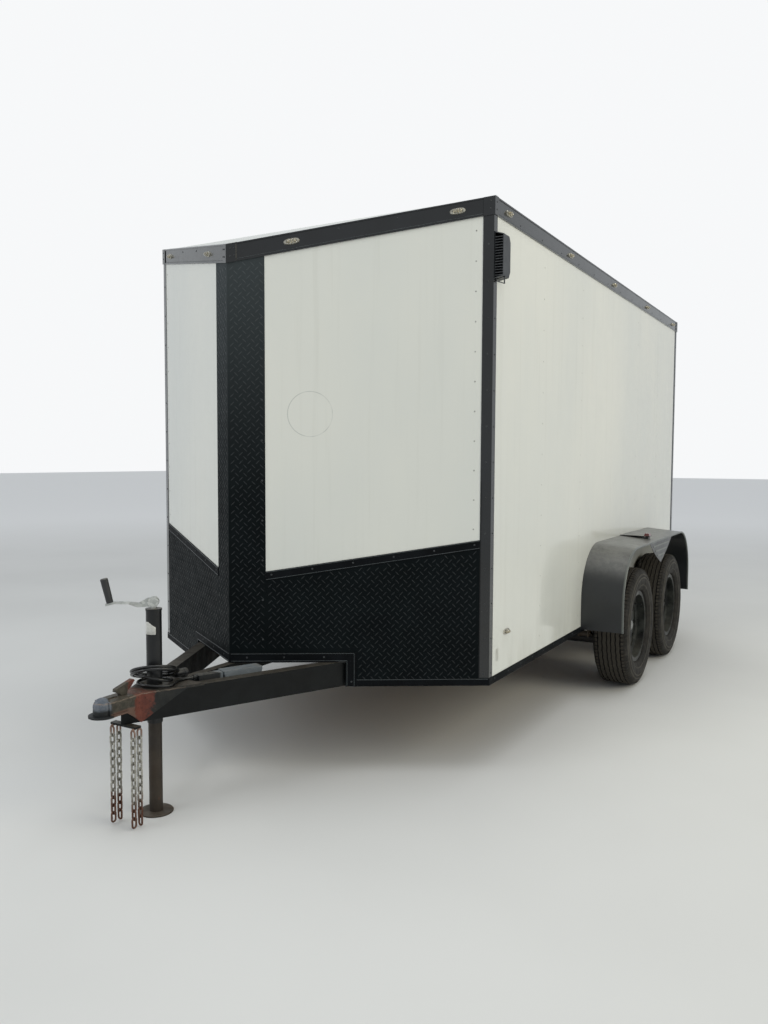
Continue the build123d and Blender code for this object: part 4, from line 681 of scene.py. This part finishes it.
# ---- tread plate
LUG_PITCH, LUG_CLEAR = 0.034, 0.010
LUG_LONG, LUG_WIDE, LUG_TALL, LUG_SUNK = 0.0128, 0.0025, 0.0013, 0.0002
LUG_POINTS = (
    (-1, 0, 0), (-0.62, 0.72, 0), (0, 1, 0), (0.62, 0.72, 0), (1, 0, 0), (0.62, -0.72, 0),
    (0, -1, 0), (-0.62, -0.72, 0), (-0.6, 0, 0.85), (0, 0, 1), (0.6, 0, 0.85))
LUG_FACES = [(0, 1, 8), (1, 2, 9, 8), (2, 3, 10, 9), (3, 4, 10),
             (4, 5, 10), (5, 6, 9, 10), (6, 7, 8, 9), (7, 0, 8)]
CUT_CLEAR = BAND + 0.012


def lug(heap, side, x, height, turn, out):
    """One raised diamond, turned in the face."""
    u, v, n = nose_axes(side)
    centre = nose_point(side, x, height, out)
    along = u * math.cos(turn) + v * math.sin(turn)
    across = v * math.cos(turn) - u * math.sin(turn)
    pts = [centre + along * a * LUG_LONG + across * b * LUG_WIDE + n * (c * LUG_TALL - LUG_SUNK)
           for a, b, c in LUG_POINTS]
    heap.take(pts, LUG_FACES if side > 0 else [tuple(reversed(face)) for face in LUG_FACES])


def lug_rows(heap, side, x_from, x_to, low, high, skip):
    """Raised diamonds, each across its neighbours, over one nose face."""
    first, last = x_from * SLANT, x_to * SLANT
    for parity in (0, 1):
        for i in range(int((last - first) / LUG_PITCH) + 2):
            s = first + (i + 0.5 * parity) * LUG_PITCH
            if not first + LUG_CLEAR < s < last - LUG_CLEAR:
                continue
            x = s / SLANT
            floor_h, ceiling_h = falling(low, x), falling(high, x)
            j = int(floor_h / LUG_PITCH) - 1
            while (j + 0.5 * parity) * LUG_PITCH < ceiling_h - LUG_CLEAR:
                h = (j + 0.5 * parity) * LUG_PITCH
                j += 1
                if h >= floor_h + LUG_CLEAR and not skip(x, h):
                    lug(heap, side, x, h, math.radians(45 if parity else -45), GUARD_OUT)


strip_lug_top = (TRIM_LOW - 0.002, TRIM_LOW - DROP - 0.002)
guard_lug_top = (GUARD_TOP[0] - BAND, GUARD_TOP[1] - BAND)
for name, x_from, x_to, low, high, skip in (
        ("nose_strip_lugs", 0.0, STRIP, (0.0, 0.0), strip_lug_top,
         lambda x, h: h < CUT_Z + CUT_CLEAR),
        ("stone_guard_lugs", STRIP, GUARD_X, (0.010, 0.010), guard_lug_top,
         lambda x, h: x < CUT_X + CUT_CLEAR and h < CUT_Z + CUT_CLEAR)):
    heap = Heap()
    for side in (-1, 1):
        lug_rows(heap, side, x_from, x_to, low, high, skip)
    heap.make(name, "trailer", "tread_lug", "tread_black", 60, weld=False)

# ---- rolled beads on bands and trim
BEAD_R, BEAD_SUNK = 0.0013, 0.0002
BEAD_IN = 0.0035  # from a band's edge
BEAD_UP = 0.0085  # over the trim's lower edge
LOW_BEAD = 0.0275  # over the rails
CAP_LONG = 0.034  # the corner caps, where the trim's beads stop


def bead(heap, start, end, n):
    """A half-round bead on a flat strip."""
    along = (end - start).normalized()
    across = along.cross(n)
    pts = []
    for spot in (start, end):
        for k in range(7):
            t = math.pi * k / 6
            rise = math.sin(t) * BEAD_R - BEAD_SUNK
            pts.append(spot + across * math.cos(t) * BEAD_R + n * rise)
    faces = [(k, k + 1, k + 8, k + 7) for k in range(6)]
    faces += [(6, 0, 7, 13), tuple(reversed(range(7))), tuple(range(7, 14))]
    heap.take(pts, faces)


def nose_bead(heap, side, start, end, out=BAND_OUT):
    """A bead on a nose face, from one (x, height) to another."""
    bead(heap, nose_point(side, *start, out), nose_point(side, *end, out), nose_axes(side)[2])


trim_edge = (TRIM_LOW, TRIM_LOW - DROP)
heap = Heap()
for side in (-1, 1):
    start_x, end_x = STRIP + 0.001, GUARD_X - 0.002
    for drop in (BEAD_IN, BAND - BEAD_IN):
        nose_bead(heap, side, (start_x, falling(GUARD_TOP, STRIP) - drop),
                  (end_x, falling(GUARD_TOP, GUARD_X) - drop))
    for inset in (BEAD_IN, BAND - BEAD_IN):
        corner = CUT_X + inset / SLANT
        nose_bead(heap, side, (0.004, CUT_Z + inset), (corner - 0.001, CUT_Z + inset))
        nose_bead(heap, side, (corner, 0.002), (corner, CUT_Z + inset))
    nose_bead(heap, side, (CUT_X + BAND, LOW_BEAD), (HALF - 0.002, LOW_BEAD))
    nose_bead(heap, side, (CAP_LONG, falling(trim_edge, CAP_LONG) + BEAD_UP),
              (HALF - CAP_LONG, falling(trim_edge, HALF - CAP_LONG) + BEAD_UP), TRIM_OUT)
    x, z = side * (HALF + TRIM_OUT), RAIL + TRIM_LOW + BEAD_UP
    bead(heap, Vector((x, FRONT + CAP_LONG, z)), Vector((x, REAR - CAP_LONG, z)),
         Vector((side, 0, 0)))
heap.make("trim_beads", "trailer", "bead_painted_highlight", "trim_black", 60, weld=False)

# ---- screws
SCREW_R, SCREW_TALL = 0.0042, 0.0018
TRIM_SCREW_R, EDGE_SCREW_R = 0.0036, 0.0032
CAP_DROPS = (0.022, 0.052)
FLANGE_HEIGHTS = spaced(0.05, 0.148, 13)


def screw(heap, spot, normal, radius=SCREW_R, tall=SCREW_TALL):
    heap.spun([(-0.0004, radius), (tall * 0.45, radius * 0.98), (tall * 0.85, radius * 0.66),
               (tall, radius * 0.22), (tall * 0.62, 0.0)], spot, normal, 10)


def nose_screws(heap, side, places, out, radius=SCREW_R, tall=SCREW_TALL):
    """Screws on a nose face, at each (x, height)."""
    for x, height in places:
        screw(heap, nose_point(side, x, height, out), nose_axes(side)[2], radius, tall)


def side_screws(heap, side, places, out, radius, tall=SCREW_TALL):
    """Screws on a side wall, at each (y, height)."""
    for y, height in places:
        spot = (side * (HALF + out), y, RAIL + height)
        screw(heap, spot, Vector((side, 0, 0)), radius, tall)


dark, pale = Heap(), Heap()
for side in (-1, 1):
    # over the guard's band, round the cut-out, along the bottom
    band_xs = [STRIP + 0.02 + (GUARD_X - STRIP - 0.04) * i / 5 for i in range(6)]
    nose_screws(dark, side, [(x, falling(GUARD_TOP, x) - BAND * 0.45) for x in band_xs], BAND_OUT)
    cut_places = [(x, CUT_Z + BAND * 0.5) for x in (0.06, 0.19, 0.33)]
    nose_screws(dark, side, cut_places + [(CUT_X + BAND * 0.5, 0.02)], BAND_OUT)
    nose_screws(dark, side, [(x, 0.018) for x in (0.56, 0.70, 0.84)], GUARD_OUT)
    # corner flanges and the strip's edges
    nose_screws(dark, side, [(HALF - 0.019, h) for h in FLANGE_HEIGHTS], FLANGE_OUT)
    nose_screws(dark, side, [(STRIP - 0.011, h) for h in spaced(0.20, 0.165, 10)], GUARD_OUT)
    # the nose panel's own rivets beside the corner
    nose_screws(pale, side, [(GUARD_X - 0.024, h) for h in spaced(0.66, 0.122, 11)],
                0.0, 0.0034, 0.0014)
    # corner caps and trim round the roof
    for x, drops, out in ((0.012, CAP_DROPS, CAP_OUT), (0.026, CAP_DROPS, CAP_OUT),
                          (0.38, (0.020,), TRIM_OUT), (0.58, (0.020,), TRIM_OUT)):
        places = [(x, TRIM_TOP - drop - DROP * (HALF - x) / HALF) for drop in drops]
        nose_screws(dark, side, places, out, TRIM_SCREW_R)
    nose_screws(dark, side, [(HALF - 0.014, TRIM_TOP - drop) for drop in CAP_DROPS],
                CAP_OUT, TRIM_SCREW_R)
    for y in (FRONT + 0.017, REAR - 0.017):
        side_screws(dark, side, [(y, TRIM_TOP - drop) for drop in CAP_DROPS], CAP_OUT, TRIM_SCREW_R)
    side_screws(dark, side, [(y, TRIM_TOP - 0.054) for y in spaced(FRONT + 0.29, 0.28, 12)],
                TRIM_OUT, EDGE_SCREW_R)
    # bottom band and corner flanges of the side
    side_screws(dark, side, [(y, 0.018) for y in spaced(FRONT + 0.06, 0.1535, 24)],
                FLANGE_OUT, TRIM_SCREW_R)
    for height in FLANGE_HEIGHTS:
        side_screws(dark, side, [(FRONT + 0.018, height), (REAR - 0.018, height)],
                    FLANGE_OUT, TRIM_SCREW_R)
    # rows of rivets up the wall's posts, but not where the side door is
    for back_y in (0.62, 1.23, 2.45, 3.05):
        if side > 0 or back_y >= 1.3:
            side_screws(pale, side, [(FRONT + back_y, h) for h in spaced(0.10, 0.146, 13)],
                        0.0, 0.0030, 0.0012)
# rear frame: down the posts and along the header
back = Vector((0, 1, 0))
for height in spaced(0.14, 0.142, 13):
    for side in (-1, 1):
        screw(dark, (side * (HALF - 0.012), REAR, RAIL + height), back, TRIM_SCREW_R)
for i in range(13):
    spot = (-0.78 + i * 0.13 + 0.03, REAR + TRIM_OUT, RAIL + TRIM_TOP - 0.056)
    screw(dark, spot, back, EDGE_SCREW_R)
dark.make("trim_screws", "trailer", "screw_black", "trim_black", 50, weld=False)
pale.make("panel_rivets", "trailer", "screw_white", "white_skin", 50, weld=False)

# ---- chains
LINK_LONG, LINK_WIDE, WIRE = 0.029, 0.0105, 0.0035  # inner length and width, the bar's radius
HALF_LONG, HALF_WIDE = LINK_LONG / 2 + WIRE, LINK_WIDE / 2 + WIRE
LINK_STEPS, LINK_RING, LINKS = 20, 8, 12
LINK_SLACK = 0.0003
CHAIN_X, CHAIN_Y = 0.052, FRONT - 1.146
STRAND_OFF = 0.015
HOOK_LOW = RAIL - 0.008 - 0.009
HOOK_STEPS, HOOK_RING, HOOK_WIRE = 15, 10, 0.0044
HOOK_HALF, HOOK_ARCH = 0.0185, 0.004


def chain_link(heap, centre, turned):
    """One welded link: a bent round bar, standing up, turned about the vertical."""
    straight = HALF_LONG - HALF_WIDE
    line = []
    for i in range(LINK_STEPS):
        t = i / LINK_STEPS * 2 * math.pi
        shift = straight if math.sin(t) >= 0 else -straight
        line.append((HALF_WIDE * math.cos(t), HALF_WIDE * math.sin(t) + shift))
    spin = Matrix.Rotation(turned, 3, "Z")
    pts = []
    for i, (a, b) in enumerate(line):
        before, after = line[i - 1], line[(i + 1) % LINK_STEPS]
        tangent = Vector((after[0] - before[0], 0, after[1] - before[1])).normalized()
        outward = Vector((tangent.z, 0, -tangent.x))
        for ray in ring_rays(outward, Vector((0, 1, 0)), LINK_RING):
            pts.append(Vector(centre) + spin @ (Vector((a, 0, b)) + ray * WIRE))
    heap.take(pts, grid_faces(LINK_STEPS, LINK_RING, True, True))


def chain_hook(heap, hook_x):
    """The bent bar that both strands hang from."""
    pts = []
    for i in range(HOOK_STEPS):
        t = math.pi * i / (HOOK_STEPS - 1)
        middle = Vector((hook_x, CHAIN_Y - HOOK_HALF * math.cos(t),
                         HOOK_LOW + 0.0045 + HOOK_ARCH * math.sin(t)))
        tangent = Vector((0, HOOK_HALF * math.sin(t) + 1e-5, HOOK_ARCH * math.cos(t))).normalized()
        across = Vector((1, 0, 0))
        pts += [middle + ray * HOOK_WIRE
                for ray in ring_rays(across, across.cross(tangent), HOOK_RING)]
    faces = [(a, d, c, b) for a, b, c, d in grid_faces(HOOK_STEPS, HOOK_RING, False, True)]
    faces.append(tuple(range(HOOK_RING)))
    faces.append(tuple(reversed(range((HOOK_STEPS - 1) * HOOK_RING, HOOK_STEPS * HOOK_RING))))
    heap.take(pts, faces)


for name, hook_x in (("chain_left", CHAIN_X), ("chain_right", -CHAIN_X)):
    heap = Heap()
    for strand in (-1, 1):
        for number in range(LINKS):
            z = HOOK_LOW + 0.003 - HALF_LONG - number * (LINK_LONG - LINK_SLACK)
            turned = math.pi / 2 * ((number + (strand > 0)) % 2)
            turned += math.radians(rng.uniform(-7, 7))
            chain_link(heap, (hook_x, CHAIN_Y + strand * STRAND_OFF, z), turned)
    chain_hook(heap, hook_x)
    piece = heap.make(name + "_links", "trailer", "chain_zinc", "chain_zinc", 60, weld=False)
    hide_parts(name)

# ---- tyres
TYRE_STEPS = 360
WAVE = 0.0016  # the grooves' zigzag, to each side
SIPE = 0.0030  # depth of the small cuts
SHOULDER_CUT = {"b": 0.0042, "n": 0.0030}
OUTER_RIB, INNER_RIB = (0.045, 0.055), (0.020, 0.028)
profile = [
    # across, radius, kind: s sidewall, n under the shoulder, b shoulder block, t tread, g groove
    (-0.0717, 0.1910, "s"), (-0.0717, 0.2110, "s"), (-0.0790, 0.2160, "s"), (-0.0840, 0.2175, "s"),
    (-0.0900, 0.2260, "s"), (-0.0952, 0.2370, "s"), (-0.0965, 0.2372, "s"), (-0.0968, 0.2392, "s"),
    (-0.0990, 0.2480, "s"), (-0.1012, 0.2600, "s"), (-0.1024, 0.2720, "s"), (-0.1024, 0.2830, "s"),
    (-0.1012, 0.2950, "s"), (-0.1020, 0.2958, "s"), (-0.1016, 0.2990, "s"), (-0.0996, 0.3040, "s"),
    (-0.0965, 0.3150, "n"), (-0.0935, 0.3230, "n"), (-0.0895, 0.3300, "b"), (-0.0850, 0.3365, "b"),
    (-0.0780, 0.3400, "b"), (-0.0700, 0.3412, "b"), (-0.0665, 0.3416, "b"),
    (-0.0655, 0.3345, "g"), (-0.0600, 0.3345, "g"), (-0.0588, 0.3422, "t"), (-0.0500, 0.3427, "t"),
    (-0.0415, 0.3431, "t"), (-0.0403, 0.3350, "g"), (-0.0350, 0.3350, "g"), (-0.0338, 0.3436, "t"),
    (-0.0240, 0.3438, "t"), (-0.0150, 0.3440, "t"), (-0.0138, 0.3355, "g"), (-0.0090, 0.3355, "g"),
    (-0.0078, 0.3442, "t"), (0.0, 0.3443, "t"),
]
profile += [(-x, r, kind) for x, r, kind in reversed(profile[:-1])]
# back through the inside
profile += [(0.049, 0.1910, "s"), (0.057, 0.2170, "s"), (0.086, 0.2650, "s"), (0.076, 0.3270, "s"),
            (-0.076, 0.3270, "s"), (-0.086, 0.2650, "s"), (-0.057, 0.2170, "s"),
            (-0.049, 0.1910, "s")]


def tread_radius(x, radius, kind, phase):
    """The profile's radius at this step, less the cuts that repeat every four steps."""
    if kind in SHOULDER_CUT and (phase + (2 if x > 0 else 0)) % 4 == 0:
        radius -= SHOULDER_CUT[kind]
    for (near, far), cut_phase in ((OUTER_RIB, 3), (INNER_RIB, 1)):
        if kind == "t" and near < abs(x) < far and phase == cut_phase:
            radius -= SIPE
    return radius


tyre_faces = grid_faces(TYRE_STEPS, len(profile), True, True)
for name, side, wheel_y in WHEELS:
    points = []
    for i in range(TYRE_STEPS):
        turn = 2 * math.pi * i / TYRE_STEPS
        wave = WAVE * (abs((i % 8) - 4) / 2.0 - 1)
        for x, profile_r, kind in profile:
            radius = tread_radius(x, profile_r, kind, i % 4)
            shift = wave if kind in "tg" and 0.005 < abs(x) < 0.066 else 0.0
            points.append((side * (WHEEL_X + x + shift), wheel_y + radius * math.cos(turn),
                           TYRE_R + radius * math.sin(turn)))
    faces = tyre_faces if side > 0 else [tuple(reversed(face)) for face in tyre_faces]
    piece = add_piece("tyre_tread_" + name, points, faces, "wheel_" + name, "tyre", 32)
    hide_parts("tyre_" + name)

# ---- valve stems
STEM = [(0.0, 0.0), (0.0, 0.0055), (0.008, 0.0050), (0.012, 0.0032), (0.026, 0.0030),
        (0.027, 0.0042), (0.037, 0.0040), (0.038, 0.0)]
STEM_R, STEM_OUT = 0.168, 0.030
for name, side, wheel_y in WHEELS:
    turn = math.radians(40 if "front" in name else 165)
    ray = Vector((0, math.cos(turn), math.sin(turn)))
    base = Vector((side * (WHEEL_X + STEM_OUT), wheel_y, TYRE_R)) + ray * STEM_R
    heap = Heap()
    heap.spun(STEM, base, (side, 0, 0), 12)
    heap.make("valve_stem_" + name, "wheel_" + name, "vent_plastic", "tyre", 40)

# ---- marker lamps
LAMP_DROP = 0.037
NOSE_LAMPS = (0.220, 0.788)
REAR_LAMPS = (-0.780, -0.130, 0.0, 0.130, 0.780)
LOW_LAMP = (0.189, 0.198)  # back from the corner, over the rails
OVAL_COUNT, OVAL_SQUARE = 28, 2.6
# each layer is (half length, half height, out)
BASE_LAYERS = [(0.032, 0.0124, -0.0004), (0.032, 0.0124, 0.0030), (0.0298, 0.0106, 0.0058),
               (0.0222, 0.0094, 0.0060), (0.0212, 0.0087, 0.0030)]
LENS_LAYERS = [(0.0208, 0.0090, 0.0045), (0.0205, 0.0088, 0.0090), (0.0182, 0.0074, 0.0140),
               (0.0134, 0.0050, 0.0168), (0.0072, 0.0026, 0.0178)]
DIODE_LAYERS = [(0.0042, 0.0048, 0.0028), (0.0040, 0.0046, 0.0075), (0.0022, 0.0026, 0.0092)]
DIODE_OFF = 0.0110


def oval(half_length, half_height):
    outline = []
    for i in range(OVAL_COUNT):
        t = 2 * math.pi * i / OVAL_COUNT
        c, s = math.cos(t), math.sin(t)
        outline.append((half_length * math.copysign(abs(c) ** (2 / OVAL_SQUARE), c),
                        half_height * math.copysign(abs(s) ** (2 / OVAL_SQUARE), s)))
    return outline


def stacked(heap, spot, u, n, layers):
    """Oval layers set over each other, closed at both ends."""
    v = n.cross(u)
    pts = []
    for half_length, half_height, out in layers:
        pts += [spot + u * a + v * b + n * out for a, b in oval(half_length, half_height)]
    faces = grid_faces(len(layers), OVAL_COUNT, False, True)
    faces.append(tuple(range((len(layers) - 1) * OVAL_COUNT, len(layers) * OVAL_COUNT)))
    faces.append(tuple(reversed(range(OVAL_COUNT))))
    heap.take(pts, faces)


lamp_z = RAIL + TRIM_TOP - LAMP_DROP
along_x, along_y = Vector((1, 0, 0)), Vector((0, 1, 0))
spots = []
for side in (-1, 1):
    wall = Vector((side, 0, 0))
    for back_y in spaced(0.152, 0.83775, 5):
        spots.append((Vector((side * (HALF + TRIM_OUT), FRONT + back_y, lamp_z)), along_y, wall))
    tangent = Vector((side * HALF, DEPTH, DROP)).normalized()
    for x in NOSE_LAMPS:
        spot = nose_point(side, x, TRIM_TOP - LAMP_DROP - DROP * (HALF - x) / HALF, TRIM_OUT)
        spots.append((spot, tangent, nose_axes(side)[2]))
    spots.append((Vector((side * HALF, FRONT + LOW_LAMP[0], RAIL + LOW_LAMP[1])), along_y, wall))
red_spots = [(Vector((x, REAR + TRIM_OUT, lamp_z)), along_x, along_y) for x in REAR_LAMPS]
for label, places, base_finish, lens_finish, slot in (
        ("amber", spots, "lamp_chrome", "lens_clear", "lamp_amber"),
        ("red", red_spots, "vent_plastic", "lamp_red", "lamp_red")):
    base, glass, glow = Heap(), Heap(), Heap()
    for spot, u, n in places:
        stacked(base, spot, u, n, BASE_LAYERS)
        stacked(glass, spot, u, n, LENS_LAYERS)
        for shift in (-DIODE_OFF, 0.0, DIODE_OFF):
            stacked(glow, spot + u * shift, u, n, DIODE_LAYERS)
    base.make("marker_bases_" + label, "trailer", base_finish, "lamp_amber", 30)
    lenses = glass.make("marker_lenses_" + label, "trailer", lens_finish, slot, 40)
    glow.make("marker_diodes_" + label, "trailer", slot, slot, 40)
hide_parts("marker_lamps")

# ---- tag and sticker, both blank
TAG_R, TAG_COUNT, TAG_FACING = 0.02885, 14, math.radians(-88)
# height, and the turns where the sheet starts and ends there
TAG_ROWS = ((0.675, -0.98, 0.98), (0.702, -0.98, 0.98), (0.708, -0.93, 0.66),
            (0.718, -0.62, 0.20), (0.722, -0.40, 0.02))
pts = []
for z, turn_from, turn_to in TAG_ROWS:
    for i in range(TAG_COUNT):
        t = TAG_FACING + turn_from + (turn_to - turn_from) * i / (TAG_COUNT - 1)
        pts.append((TAG_R * math.cos(t), JACK_Y + TAG_R * math.sin(t), z))
heap = Heap()
heap.take(pts, grid_faces(len(TAG_ROWS), TAG_COUNT))
tag = heap.make("jack_tag", "trailer", "sticker", "white_skin", 60)
thick = tag.modifiers.new("thick", "SOLIDIFY")
thick.thickness = 0.0004
thick.offset = 1
heap = Heap()
heap.box((HALF - 0.0005, FRONT + 0.075, RAIL + 0.085), (HALF + 0.0004, FRONT + 0.105, RAIL + 0.140))
heap.make("wall_sticker", "trailer", "sealant", "white_skin", 0)

# ---- floor and light
FLOOR_HALF = 60
FLOOR_PALES = (4, 16)
corners = [(-FLOOR_HALF, -FLOOR_HALF, 0), (FLOOR_HALF, -FLOOR_HALF, 0),
           (FLOOR_HALF, FLOOR_HALF, 0), (-FLOOR_HALF, FLOOR_HALF, 0)]
floor_mesh = bpy.data.meshes.new("studio_floor")
floor_mesh.from_pydata(corners, [], [(0, 1, 2, 3)])
floor = bpy.data.objects.new("studio_floor", floor_mesh)
scene.collection.objects.link(floor)
f = Finish("studio_floor", 0.9, spec=0.2)
near = f.mix(f.ramp(f.noise(0.6, 3, 0.5), 0.3, 0.7), "d9d9d7", "d4d4d2")
# painted light: the floor is made paler far from the trailer, where the lamps hardly reach
f.colour(f.mix(f.ramp(f.reach(f.axis("X"), f.axis("Y")), *FLOOR_PALES), near, "fafafa"))
floor_mesh.materials.append(f.material)

# the camera sees a whiter world than the one that lights the trailer
WORLD_TINT, WORLD_POWER = (0.93, 0.97, 1.0, 1), 0.60
BACKDROP_TINT, BACKDROP_POWER = (0.93, 0.94, 0.95, 1), 1.0
world = bpy.data.worlds.new("studio")
world.use_nodes = True
scene.world = world
tree = world.node_tree
background = tree.nodes["Background"]
background.inputs[0].default_value = WORLD_TINT
background.inputs[1].default_value = WORLD_POWER
backdrop = tree.nodes.new("ShaderNodeBackground")
backdrop.inputs[0].default_value = BACKDROP_TINT
backdrop.inputs[1].default_value = BACKDROP_POWER
path = tree.nodes.new("ShaderNodeLightPath")
mixer = tree.nodes.new("ShaderNodeMixShader")
tree.links.new(path.outputs["Is Camera Ray"], mixer.inputs[0])
tree.links.new(background.outputs[0], mixer.inputs[1])
tree.links.new(backdrop.outputs[0], mixer.inputs[2])
tree.links.new(mixer.outputs[0], tree.nodes["World Output"].inputs[0])


def soft_light(name, spot, target, width, height, power, tint):
    data = bpy.data.lights.new(name, "AREA")
    data.shape = "RECTANGLE"
    data.size, data.size_y = width, height
    data.energy = power
    data.color = tint
    lamp = bpy.data.objects.new(name, data)
    scene.collection.objects.link(lamp)
    lamp.location = spot
    lamp.rotation_mode = "QUATERNION"
    lamp.rotation_quaternion = (Vector(target) - Vector(spot)).to_track_quat("-Z", "Y")


soft_light("light_side", (7.5, -0.5, 4.6), (0, 0.4, 1.1), 5.0, 4.0, 165, (1.0, 0.93, 0.72))
soft_light("light_top", (0.5, -1.0, 7.5), (0, 0, 1.0), 6.0, 6.0, 190, (0.97, 0.99, 1.0))
soft_light("light_front", (-3.5, -7.5, 4.0), (0, -1.2, 1.0), 4.0, 3.0, 90, (0.95, 0.98, 1.0))
